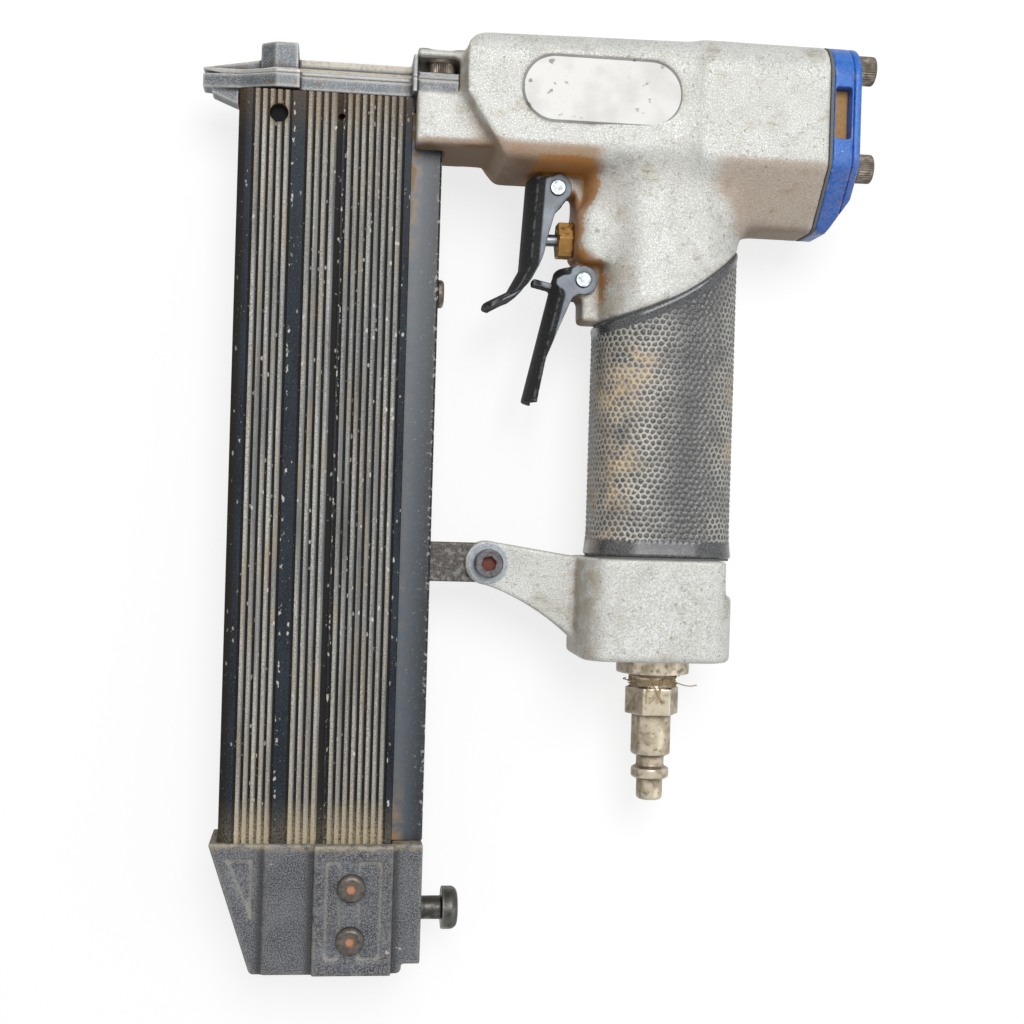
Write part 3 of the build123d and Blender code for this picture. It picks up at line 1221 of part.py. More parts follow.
# Tail cap: cast base of the handle with the forked arm to the magazine rail
with BuildPart() as tail_cap:
    with BuildSketch(level(TAIL_TOP_Y)):
        with Locations((TAIL_X, 0)):
            RectangleRounded(TAIL_DEPTH, TAIL_THICKNESS, TAIL_CORNER_R)
    extrude(amount=TAIL_HEIGHT)
    fillet(tail_cap.faces().sort_by(Axis.Y)[0].edges(), TAIL_EDGE_R)
    with BuildSketch(TOOL):
        waist_y = TAIL_TOP_Y - TAIL_WAIST_HEIGHT
        Polygon(*corners(TAIL_RIGHT_X - TAIL_WAIST, TAIL_RIGHT_X + OVERCUT, waist_y, TAIL_TOP_Y + OVERCUT))
    extrude(amount=TAIL_THICKNESS, both=True, mode=Mode.SUBTRACT)
    with BuildSketch(TOOL):
        with BuildLine():
            root_x = TAIL_LEFT_X + ARM_ROOT
            hollow = ThreePointArc(
                (ARM_BOSS_X, ARM_BOSS_Y - ARM_BOSS_R),
                (ARM_SAG_X, TAIL_TOP_Y - ARM_SAG_DROP),
                (root_x, TAIL_BOTTOM_Y + TAIL_EDGE_R),
            )
            Polyline(
                hollow @ 1,
                (root_x, TAIL_TOP_Y),
                (TAIL_LEFT_X, TAIL_TOP_Y),
                (ARM_BOSS_X, ARM_BOSS_Y + ARM_BOSS_R),
                hollow @ 0,
            )
        make_face()
        with Locations((ARM_BOSS_X, ARM_BOSS_Y)):
            Circle(ARM_BOSS_R)
    extrude(amount=ARM_HALF, both=True)
    with BuildSketch(TOOL):
        Polygon(
            *corners(
                ARM_BOSS_X - ARM_BOSS_R - OVERCUT,
                ARM_BOSS_X + TONGUE_HALF_WIDTH + SLIDE_GAP,
                ARM_BOSS_Y - ARM_SAG_DROP,
                ARM_BOSS_Y + ARM_SAG_DROP,
            )
        )
    extrude(amount=TONGUE_THICKNESS / 2 + HOLD_FIT, both=True, mode=Mode.SUBTRACT)
    with BuildSketch(TOOL):
        with Locations((ARM_BOSS_X, ARM_BOSS_Y)):
            Circle(BRACKET_SCREW_R + HOLD_FIT)
    extrude(amount=ARM_HALF, both=True, mode=Mode.SUBTRACT)
    with BuildSketch(level(TAIL_TOP_Y)):
        with Locations((HANDLE_X, 0)):
            RectangleRounded(AIRWAY_DEPTH, AIRWAY_THICKNESS, AIRWAY_CORNER_R)
    extrude(amount=TAIL_TOP_Y - TAIL_CAVITY_Y, mode=Mode.SUBTRACT)
    with BuildSketch(level(TAIL_CAVITY_Y)):
        with Locations((HANDLE_X, 0)):
            Circle(BUSHING_BODY_R + HOLD_FIT)
    extrude(amount=TAIL_FLOOR, mode=Mode.SUBTRACT)
    with BuildSketch(level(TAIL_TOP_Y)):
        with Locations(*TAIL_SCREW_PLACES):
            Circle(TAIL_SCREW_R + HOLD_FIT)
    extrude(amount=TAIL_HEIGHT, mode=Mode.SUBTRACT)
    with BuildSketch(level(TAIL_SEAT_Y)):
        with Locations(*TAIL_SCREW_PLACES):
            Circle(TAIL_SCREW_HEAD_R + SEAT_GAP)
    extrude(amount=TAIL_SCREW_SINK, mode=Mode.SUBTRACT)
save(tail_cap, "tail_cap")

tail_screws = socket_screws(
    level(TAIL_SEAT_Y),
    TAIL_SCREW_PLACES,
    (TAIL_SCREW_R, GRIP_BOTTOM_Y + TAIL_SCREW_BITE - TAIL_SEAT_Y),
    (TAIL_SCREW_HEAD_R, TAIL_SCREW_HEAD_H),
    HEX_KEY_SMALL,
    SCREW_EDGE_R,
)
save(tail_screws, "tail_screws")

# Threaded bushing in the tail cap, with the inlet screen on top
with BuildPart() as inlet_bushing:
    bushing_top = TAIL_BOTTOM_Y + BUSHING_BITE
    flange_bottom = TAIL_BOTTOM_Y - BUSHING_FLANGE
    thread_top = flange_bottom + PLUG_THREAD_BITE
    with BuildSketch(TOOL):
        Polygon(
            *down_y(
                HANDLE_X,
                [
                    (bushing_top, BUSHING_BORE_R),
                    (bushing_top, BUSHING_BODY_R),
                    (TAIL_BOTTOM_Y, BUSHING_BODY_R),
                    (TAIL_BOTTOM_Y, BUSHING_R),
                    (flange_bottom, BUSHING_R),
                    (flange_bottom, PLUG_THREAD_R + HOLD_FIT),
                    (thread_top, PLUG_THREAD_R + HOLD_FIT),
                    (thread_top, BUSHING_BORE_R),
                ],
            )
        )
    revolve(axis=axis_at(HANDLE_X, 0, DOWN_Y))
save(inlet_bushing, "inlet_bushing")

with BuildPart() as inlet_filter:
    with BuildSketch(roof(bushing_top)):
        with Locations((HANDLE_X, 0)):
            Circle(BUSHING_BODY_R - SEAT_GAP)
        with Locations((HANDLE_X, 0)):
            with HexLocations(FILTER_PITCH / 2, 4, 4):
                Circle(FILTER_HOLE_R, mode=Mode.SUBTRACT)
    extrude(amount=FILTER_SCREEN)
save(inlet_filter, "inlet_filter")

# Quick connect plug
with BuildPart() as air_plug:
    hex_top = flange_bottom - PLUG_NECK
    hex_bottom = hex_top - PLUG_HEX_HEIGHT
    shank_end = hex_bottom - PLUG_SHANK_LENGTH
    groove_end = shank_end - PLUG_GROOVE_LENGTH
    bead_end = groove_end - PLUG_BEAD_LENGTH
    tip_end = bead_end - PLUG_TIP_LENGTH
    with BuildSketch(TOOL):
        Polygon(
            *down_y(
                HANDLE_X,
                [
                    (thread_top, PLUG_BORE_R),
                    (thread_top, PLUG_THREAD_R),
                    (hex_top, PLUG_THREAD_R),
                    (hex_bottom, PLUG_SHANK_R),
                    (shank_end, PLUG_SHANK_R),
                    (shank_end - PLUG_TIP_CHAMFER, PLUG_GROOVE_R),
                    (groove_end, PLUG_GROOVE_R),
                    (groove_end - PLUG_TIP_CHAMFER, PLUG_BEAD_R),
                    (bead_end + PLUG_TIP_CHAMFER, PLUG_BEAD_R),
                    (bead_end, PLUG_TIP_R),
                    (tip_end + PLUG_TIP_CHAMFER, PLUG_TIP_R),
                    (tip_end, PLUG_TIP_R - PLUG_TIP_CHAMFER),
                    (tip_end, PLUG_BORE_R),
                ],
            )
        )
    revolve(axis=axis_at(HANDLE_X, 0, DOWN_Y))
    with BuildSketch(level(hex_top)):
        with Locations((HANDLE_X, 0)):
            RegularPolygon(PLUG_HEX_FLATS / 2, 6, major_radius=False)
            Circle(PLUG_BORE_R, mode=Mode.SUBTRACT)
    extrude(amount=PLUG_HEX_HEIGHT)
save(air_plug, "air_plug")

# Rail bracket: tongue from the rail into the fork of the arm, with its screw, washer and nut
with BuildPart() as rail_bracket:
    with BuildSketch(TOOL):
        tongue_low = ARM_BOSS_Y - TONGUE_HALF_WIDTH
        tongue_high = ARM_BOSS_Y + TONGUE_HALF_WIDTH
        Polygon(*corners(RAIL_EDGE_X - TONGUE_ROOT, ARM_BOSS_X, tongue_low, tongue_high))
        with Locations((ARM_BOSS_X, ARM_BOSS_Y)):
            Circle(TONGUE_HALF_WIDTH)
            Circle(BRACKET_SCREW_R + HOLD_FIT, mode=Mode.SUBTRACT)
    extrude(amount=TONGUE_THICKNESS / 2, both=True)
save(rail_bracket, "rail_bracket")

with BuildPart() as bracket_washer:
    with BuildSketch(flank(ARM_HALF)):
        with Locations((ARM_BOSS_X, ARM_BOSS_Y)):
            Circle(WASHER_R)
            Circle(BRACKET_SCREW_R + HOLD_FIT, mode=Mode.SUBTRACT)
    extrude(amount=WASHER_THICKNESS)
save(bracket_washer, "bracket_washer")

bracket_screw = socket_screws(
    flank(BRACKET_FACE_Z),
    [(ARM_BOSS_X, ARM_BOSS_Y)],
    (BRACKET_SCREW_R, BRACKET_FACE_Z + ARM_HALF + NUT_HEIGHT + WASHER_THICKNESS),
    (BRACKET_HEAD_R, BRACKET_HEAD_H),
    HEX_KEY_LARGE,
    SCREW_EDGE_R,
)
save(bracket_screw, "bracket_screw")

with BuildPart() as bracket_nut:
    with BuildSketch(flank(-ARM_HALF - NUT_HEIGHT)):
        with Locations((ARM_BOSS_X, ARM_BOSS_Y)):
            RegularPolygon(NUT_FLATS / 2, 6, major_radius=False)
            Circle(BRACKET_SCREW_R + HOLD_FIT, mode=Mode.SUBTRACT)
    extrude(amount=NUT_HEIGHT)
save(bracket_nut, "bracket_nut")

# Magazine rail: outer strip with the bar that carries the row of pins
with BuildPart() as magazine_rail:
    with BuildSketch(level(RAIL_TOP_Y)):
        Polygon(*corners(RAIL_STRIP_X, RAIL_EDGE_X, -RAIL_HALF, RAIL_HALF))
    extrude(amount=RAIL_TOP_Y - RAIL_BOTTOM_Y)
    chamfer(magazine_rail.edges().filter_by(Axis.Y).sort_by(Axis.X)[-2:], RAIL_EDGE_CHAMFER)
    with BuildSketch(level(RAIL_BAR_TOP_Y)):
        groove_left = GUIDE_LIP_X - SLIDE_GAP
        groove_right = GUIDE_LIP_X + GUIDE_LIP_WIDTH + SLIDE_GAP
        groove_floor = GUIDE_LIP_HEIGHT - RAIL_HALF
        Polygon(*corners(RAIL_BAR_X, RAIL_STRIP_X, -RAIL_HALF, RAIL_FACE_Z))
        Polygon(*corners(groove_left, groove_right, -RAIL_HALF, groove_floor), mode=Mode.SUBTRACT)
    extrude(amount=RAIL_BAR_TOP_Y - RAIL_BOTTOM_Y)
    with BuildSketch(level(RAIL_BOTTOM_Y)):
        Polygon(*corners(RAIL_TAIL_X, RAIL_STRIP_X - SEAT_GAP, groove_floor, RAIL_FACE_Z))
    extrude(amount=RAIL_TAIL_LENGTH)
    with BuildSketch(TOOL):
        pocket_x = RAIL_EDGE_X - TONGUE_ROOT
        Polygon(*corners(pocket_x, RAIL_EDGE_X, tongue_low - HOLD_FIT, tongue_high + HOLD_FIT))
    extrude(amount=TONGUE_THICKNESS / 2 + HOLD_FIT, both=True, mode=Mode.SUBTRACT)
    with BuildSketch(TOOL):
        with Locations((DOWEL_X, DOWEL_Y)):
            Circle(DOWEL_R + HOLD_FIT)
    extrude(amount=RAIL_HALF, both=True, mode=Mode.SUBTRACT)
    with BuildSketch(across(RAIL_EDGE_X - STOP_SCREW_LENGTH, STOP_SCREW_Y)):
        Circle(STOP_SCREW_R + HOLD_FIT)
    extrude(amount=STOP_SCREW_LENGTH, mode=Mode.SUBTRACT)
save(magazine_rail, "magazine_rail")

rail_stop_screw = socket_screws(
    across(RAIL_EDGE_X, STOP_SCREW_Y),
    [(0, 0)],
    (STOP_SCREW_R, STOP_SCREW_LENGTH),
    (STOP_SCREW_HEAD_R, STOP_SCREW_HEAD_H),
    HEX_KEY_SMALL,
    BUTTON_EDGE_R,
)
save(rail_stop_screw, "rail_stop_screw")

with BuildPart() as rail_dowel:
    with BuildSketch(flank(-FRONT_HALF)):
        with Locations((DOWEL_X, DOWEL_Y)):
            Circle(DOWEL_R)
    extrude(amount=DOWEL_DEPTH)
save(rail_dowel, "rail_dowel")

# Ribbed magazine shell: one extruded section with a tongue into the end cap
with BuildPart() as magazine_shell:
    with BuildSketch(level(SHELL_TOP_Y)) as shell_section:
        cavity_floor = -RAIL_HALF - SLIDE_GAP
        lip_right = GUIDE_LIP_X + GUIDE_LIP_WIDTH
        track_right = PUSHER_START_X + PUSHER_WIDTH
        cavity_left = RAIL_BAR_X - SLIDE_GAP
        Polygon(*corners(SHELL_LEFT_X, SHELL_RIGHT_X, -SHELL_HALF, SHELL_HALF))
        fillet(shell_section.vertices().group_by(Axis.X)[0], SHELL_CORNER_R)
        Polygon(*corners(cavity_left, SHELL_RIGHT_X, cavity_floor, SHELL_PIN_FACE_Z), mode=Mode.SUBTRACT)
        Polygon(*corners(PUSHER_START_X, track_right, SHELL_PIN_FACE_Z, PUSHER_TRACK_Z), mode=Mode.SUBTRACT)
        Polygon(*corners(GUIDE_LIP_X, lip_right, -SHELL_HALF + RIB_DEPTH, cavity_floor + GUIDE_LIP_HEIGHT))
        for side in (-1, 1):
            for first, pitch, count in RIB_FIELDS:
                with Locations(*[(first + number * pitch, side * SHELL_HALF) for number in range(count)]):
                    Rectangle(RIB_GROOVE, 2 * RIB_DEPTH, mode=Mode.SUBTRACT)
            with Locations((STEP_GROOVE_X, side * SHELL_HALF)):
                Rectangle(STEP_GROOVE_WIDTH, 2 * RIB_DEPTH, mode=Mode.SUBTRACT)
    extrude(amount=SHELL_LENGTH + SOCKET_DEPTH)
    with BuildSketch(level(SHELL_BOTTOM_Y)):
        tongue_top = SHELL_HALF - RIB_DEPTH
        Polygon(*corners(SHELL_TONGUE_X, SHELL_TONGUE_END_X, SHELL_PIN_FACE_Z, tongue_top))
    extrude(amount=SHELL_TONGUE_LENGTH)
    with BuildSketch(flank(END_CAP_PANEL_HALF - CAP_BOLT_LENGTH - SEAT_GAP)):
        with Locations(*CAP_BOLT_PLACES):
            Circle(CAP_BOLT_R + HOLD_FIT)
    extrude(amount=SHELL_HALF, mode=Mode.SUBTRACT)
    with BuildSketch(flank(SHELL_PIN_FACE_Z)):
        with Locations((SIGHT_HOLE_X, SHELL_TOP_Y - SIGHT_HOLE_DROP)):
            Circle(SIGHT_HOLE_R)
        with Locations((PEEP_HOLE_X, SHELL_TOP_Y - SIGHT_HOLE_DROP)):
            Circle(PEEP_HOLE_R)
    extrude(amount=SHELL_HALF, mode=Mode.SUBTRACT)
save(magazine_shell, "magazine_shell")

# Pusher with the pocket for its roll spring
with BuildPart() as pusher:
    with BuildSketch(level(PUSHER_TOP_Y)):
        pusher_left = PUSHER_START_X + SLIDE_GAP
        pusher_right = track_right - SLIDE_GAP
        Polygon(*corners(pusher_left, pusher_right, RAIL_FACE_Z + SLIDE_GAP, PUSHER_TRACK_Z - SLIDE_GAP))
    extrude(amount=PUSHER_LENGTH)
    with BuildSketch(flank(PUSHER_AXIS_Z - PUSHER_ROLL_R - SEAT_GAP)):
        with Locations((PUSHER_AXIS_X, PUSHER_ROLL_Y)):
            Rectangle(PUSHER_ROLL_WIDTH + 2 * SLIDE_GAP, 2 * (PUSHER_ROLL_R + SLIDE_GAP))
    extrude(amount=PUSHER_TRACK_Z, mode=Mode.SUBTRACT)
save(pusher, "pusher")

with BuildPart() as pusher_spring:
    with BuildSketch(across(PUSHER_AXIS_X - PUSHER_ROLL_WIDTH / 2, PUSHER_ROLL_Y)):
        with Locations((-PUSHER_AXIS_Z, 0)):
            Circle(PUSHER_ROLL_R)
            Circle(PUSHER_ROLL_BORE_R, mode=Mode.SUBTRACT)
    extrude(amount=PUSHER_ROLL_WIDTH)
save(pusher_spring, "pusher_spring")

# End cap of the magazine
with BuildPart() as end_cap:
    with BuildSketch(TOOL) as cap_outline:
        notch_y = END_CAP_BOTTOM_Y + END_CAP_NOTCH_HEIGHT
        notch_x = RAIL_EDGE_X - END_CAP_NOTCH
        Polygon(
            (END_CAP_LEFT_X, SHELL_BOTTOM_Y),
            (RAIL_EDGE_X, SHELL_BOTTOM_Y),
            (RAIL_EDGE_X, notch_y),
            (notch_x, notch_y),
            (notch_x, END_CAP_BOTTOM_Y),
            (END_CAP_LEFT_X + END_CAP_SLANT, END_CAP_BOTTOM_Y),
        )
        fillet(cap_outline.vertices().group_by(Axis.Y)[0], END_CAP_CORNER_R)
    extrude(amount=END_CAP_HALF, both=True)
    with BuildSketch(TOOL):
        Polygon(*corners(END_CAP_MIDDLE_X, END_CAP_PANEL_X, END_CAP_BOTTOM_Y, SHELL_BOTTOM_Y))
    extrude(amount=END_CAP_MIDDLE_HALF, both=True)
    with BuildSketch(TOOL):
        Polygon(*corners(END_CAP_PANEL_X, END_CAP_PANEL_END_X, END_CAP_BOTTOM_Y, SHELL_BOTTOM_Y))
    extrude(amount=END_CAP_PANEL_HALF, both=True)
    # Seat of the shell and the space for its tongue and the tail of the rail
    with BuildSketch(level(SHELL_BOTTOM_Y)) as seat:
        seat_half = SHELL_HALF + SEAT_GAP
        Polygon(*corners(SHELL_LEFT_X - SEAT_GAP, CAP_CAVITY_END_X, -seat_half, seat_half))
        fillet(seat.vertices().group_by(Axis.X)[0], SHELL_CORNER_R)
    extrude(amount=SOCKET_DEPTH + SEAT_GAP, mode=Mode.SUBTRACT)
    with BuildSketch(level(SHELL_BOTTOM_Y)):
        Polygon(*corners(SHELL_TONGUE_X - SLIDE_GAP, CAP_CAVITY_END_X, -seat_half, seat_half))
    extrude(amount=SHELL_TONGUE_LENGTH + SLIDE_GAP, mode=Mode.SUBTRACT)
    # Stepped bore of the latch knob and the screw holes
    with BuildSketch(across(CAP_CAVITY_END_X, KNOB_Y)):
        Circle(KNOB_COLLAR_R + SLIDE_GAP)
    extrude(amount=RAIL_EDGE_X - KNOB_WALL - CAP_CAVITY_END_X, mode=Mode.SUBTRACT)
    with BuildSketch(across(CAP_CAVITY_END_X, KNOB_Y)):
        Circle(KNOB_PIN_R + RUN_FIT)
    extrude(amount=RAIL_EDGE_X - CAP_CAVITY_END_X, mode=Mode.SUBTRACT)
    with BuildSketch(TOOL):
        with Locations(*CAP_BOLT_PLACES):
            Circle(CAP_BOLT_R + HOLD_FIT)
    extrude(amount=END_CAP_PANEL_HALF, mode=Mode.SUBTRACT)
    # Shallow cast recesses
    with BuildSketch(flank(END_CAP_HALF - CAP_RECESS_DEPTH)):
        wing_top = SHELL_BOTTOM_Y - CAP_RECESS_MARGIN
        wing_right = WING_RECESS_X + WING_RECESS_WIDTH
        Polygon(
            (WING_RECESS_X, wing_top),
            (wing_right, wing_top),
            (wing_right, wing_top - WING_RECESS_LENGTH),
        )
    extrude(amount=CAP_RECESS_DEPTH, mode=Mode.SUBTRACT)
    with BuildSketch(flank(END_CAP_PANEL_HALF - CAP_RECESS_DEPTH)):
        for middle, width in CAP_RECESSES:
            with Locations((middle, (SHELL_BOTTOM_Y + END_CAP_BOTTOM_Y) / 2)):
                RectangleRounded(width, END_CAP_LENGTH - 2 * CAP_RECESS_MARGIN, END_CAP_CORNER_R)
    extrude(amount=CAP_RECESS_DEPTH, mode=Mode.SUBTRACT)
save(end_cap, "end_cap")

end_cap_screws = socket_screws(
    flank(END_CAP_PANEL_HALF),
    CAP_BOLT_PLACES,
    (CAP_BOLT_R, CAP_BOLT_LENGTH),
    (CAP_BOLT_HEAD_R, CAP_BOLT_HEAD_H),
    HEX_KEY_SMALL,
    BUTTON_EDGE_R,
)
save(end_cap_screws, "end_cap_screws")

# Latch knob with its stop collar inside the end cap
with BuildPart() as latch_knob:
    with BuildSketch(TOOL):
        Polygon(
            *along_x(
                KNOB_Y,
                [
                    (KNOB_TIP_X, 0),
                    (KNOB_TIP_X, KNOB_COLLAR_R),
                    (KNOB_COLLAR_X, KNOB_COLLAR_R),
                    (KNOB_COLLAR_X, KNOB_PIN_R),
                    (KNOB_SHANK_X, KNOB_PIN_R),
                    (KNOB_SHANK_X, KNOB_SHANK_R),
                    (KNOB_HEAD_X, KNOB_SHANK_R),
                    (KNOB_HEAD_X, KNOB_HEAD_R),
                    (KNOB_HEAD_X + KNOB_HEAD_H, KNOB_HEAD_R),
                    (KNOB_HEAD_X + KNOB_HEAD_H, 0),
                ],
            )
        )
    revolve(axis=axis_at(0, KNOB_Y, ALONG_X))
    fillet(latch_knob.faces().sort_by(Axis.X)[-1].edges(), KNOB_EDGE_R)
save(latch_knob, "latch_knob")

latch_spring = coil(
    "latch_spring", (KNOB_COLLAR_X, KNOB_Y, 0), ALONG_X, UP_Y, KNOB_SPRING_R, KNOB_SPRING_LENGTH
)
save(latch_spring, "latch_spring")
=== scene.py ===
import bmesh
import bpy
import json
import math
import numpy as np
from mathutils import Matrix, Vector, kdtree

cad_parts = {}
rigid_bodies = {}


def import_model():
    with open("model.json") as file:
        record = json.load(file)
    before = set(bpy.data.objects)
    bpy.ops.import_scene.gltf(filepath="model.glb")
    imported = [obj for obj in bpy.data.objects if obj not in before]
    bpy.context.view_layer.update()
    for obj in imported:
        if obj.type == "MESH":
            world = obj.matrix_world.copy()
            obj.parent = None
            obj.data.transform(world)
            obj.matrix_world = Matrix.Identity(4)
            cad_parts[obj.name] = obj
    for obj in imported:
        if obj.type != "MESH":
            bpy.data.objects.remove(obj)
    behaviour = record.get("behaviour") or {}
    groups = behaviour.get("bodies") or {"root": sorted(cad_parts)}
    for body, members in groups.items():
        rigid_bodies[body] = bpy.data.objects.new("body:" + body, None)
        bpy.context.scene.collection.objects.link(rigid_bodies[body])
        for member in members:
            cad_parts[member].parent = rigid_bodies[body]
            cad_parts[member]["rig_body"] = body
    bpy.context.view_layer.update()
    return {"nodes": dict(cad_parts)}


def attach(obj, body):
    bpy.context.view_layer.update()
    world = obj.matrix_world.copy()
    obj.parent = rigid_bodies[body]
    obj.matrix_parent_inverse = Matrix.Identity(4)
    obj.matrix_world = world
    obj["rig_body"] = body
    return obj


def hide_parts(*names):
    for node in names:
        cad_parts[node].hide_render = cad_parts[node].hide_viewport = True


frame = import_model()

# Stage: the nailer lies on its flank on a plain white table, in soft daylight from the top of the picture.
# The camera looks from 450 mm away, above the tool and a little to the nose side, as in the photograph.
scene = bpy.context.scene
scene.view_settings.view_transform = "Standard"


def linear(hex_colour):
    """Linear colour of an sRGB hex value."""
    values = [int(hex_colour[i : i + 2], 16) / 255 for i in (0, 2, 4)]
    return [v / 12.92 if v <= 0.04045 else ((v + 0.055) / 1.055) ** 2.4 for v in values] + [1.0]


def fill(tree, node, inputs):
    """Give a node's inputs values, or links from other nodes."""
    for name, value in inputs.items():
        if isinstance(value, bpy.types.Node):
            value = value.outputs[0]
        if isinstance(value, bpy.types.NodeSocket):
            tree.links.new(value, node.inputs[name])
        else:
            node.inputs[name].default_value = value


def add(tree, kind, inputs=None, **settings):
    """Add a node with its settings, and fill its inputs. A kind without Node in its name is a shader node."""
    node = tree.nodes.new(kind if "Node" in kind else "ShaderNode" + kind)
    for name, value in settings.items():
        setattr(node, name, value)
    fill(tree, node, inputs or {})
    return node


def new_finish(name):
    """New material, its node tree, and the coordinates of the object that wears it."""
    material = bpy.data.materials.new(name)
    material.use_nodes = True
    tree = material.node_tree
    return material, tree, add(tree, "TexCoord").outputs["Object"]


def white_to_the_eye(tree):
    """1 for rays that show the backdrop, straight, mirrored or through glass; 0 for the light it gives."""
    path = add(tree, "LightPath").outputs
    seen = add(tree, "Math", {0: path["Is Camera Ray"], 1: path["Is Glossy Ray"]}, operation="MAXIMUM")
    return add(tree, "Math", {0: seen, 1: path["Is Transmission Ray"]}, operation="MAXIMUM")


table_half = 6.0
table_corners = [(x * table_half, y * table_half, 0) for x, y in ((-1, -1), (1, -1), (1, 1), (-1, 1))]
table_mesh = bpy.data.meshes.new("table")
table_mesh.from_pydata(table_corners, [], [(0, 1, 2, 3)])
table = bpy.data.objects.new("table", table_mesh)
scene.collection.objects.link(table)
table_paint, tree, place = new_finish("white_laminate_table")
tree.nodes.remove(tree.nodes["Principled BSDF"])
paint = add(tree, "BsdfDiffuse", {"Color": linear("929292")})
far = add(tree, "VectorMath", {0: place}, operation="LENGTH").outputs["Value"]
brightness = {"Value": far, "From Min": 0.4, "From Max": 1.8, "To Min": 0.77, "To Max": 0.89}
far = add(tree, "MapRange", brightness)
glow_strength = add(tree, "Math", {0: white_to_the_eye(tree), 1: far}, operation="MULTIPLY")
glow = add(tree, "Emission", {"Strength": glow_strength})
both = add(tree, "AddShader", {0: paint, 1: glow})
fill(tree, tree.nodes["Material Output"], {"Surface": both})
table_mesh.materials.append(table_paint)

world = bpy.data.worlds.new("daylight")
scene.world = world
world.use_nodes = True
tree = world.node_tree
sky_strength = add(tree, "MapRange", {"Value": white_to_the_eye(tree), "To Min": 0.38, "To Max": 1.0})
fill(tree, tree.nodes["Background"], {"Strength": sky_strength, "Color": linear("ffffff")})

for name, place, width, power in (
    ("window", (0.08, 0.46, 1.12), 0.6, 8.0),
    ("bounce_card", (0.8, -0.2, 0.6), 0.6, 0.8),
):
    lamp = bpy.data.lights.new(name, "AREA")
    lamp.size = width
    lamp.energy = power
    lamp_object = bpy.data.objects.new(name, lamp)
    lamp_object.location = place
    lamp_object.rotation_euler = (-Vector(place)).to_track_quat("-Z", "Y").to_euler()
    scene.collection.objects.link(lamp_object)

yaw, roll = math.radians(7.0), math.radians(1.7)
right = Vector((math.cos(yaw), 0, math.sin(yaw)))
up = Vector((0, 1, 0))
back = Vector((-math.sin(yaw), 0, math.cos(yaw)))
looked_at, camera_distance = Vector((-0.0037, -0.0029, 0.023)), 0.45
across_image = right * math.cos(roll) + up * math.sin(roll)
up_image = up * math.cos(roll) - right * math.sin(roll)
camera_data = bpy.data.cameras.new("photo_camera")
camera_data.sensor_width = 36
camera_data.lens = 52.73
camera = bpy.data.objects.new("photo_camera", camera_data)
camera.matrix_world = Matrix((across_image, up_image, back)).transposed().to_4x4()
camera.location = looked_at + back * camera_distance
scene.collection.objects.link(camera)
scene.camera = camera

# Body: barrel, head, neck and handle core in one sand casting of aluminium alloy, left as cast.
# Inside corners carry the fillets of the wooden pattern, and outside edges are rubbed round by use.
# The tool's nose tip, drive axis and middle plane lie this far, in mm, from the frame's origin.
nose_x, axis_y, middle_z = -98.15, 121.35, 23.0


def spot(x, y, z=0.0):
    """Place in the frame of a point given in mm from the nose tip, the drive axis and the middle plane."""
    return Vector((x + nose_x, y + axis_y, z + middle_z)) / 1000


def points_of(mesh):
    """Places of a mesh's vertices, one to a row."""
    points = np.empty(len(mesh.vertices) * 3)
    mesh.vertices.foreach_get("co", points)
    return points.reshape(-1, 3)


def around(values, pairs, count):
    """Mean of the neighbours' values at each vertex."""
    total = np.empty_like(values)
    for column in range(values.shape[1]):
        sums = np.bincount(pairs[0], values[pairs[1], column], len(values))
        total[:, column] = sums + np.bincount(pairs[1], values[pairs[0], column], len(values))
    return total / count[:, None]


def nowhere(x, y, z):
    """A share of 0 at every vertex."""
    return np.zeros(len(x))


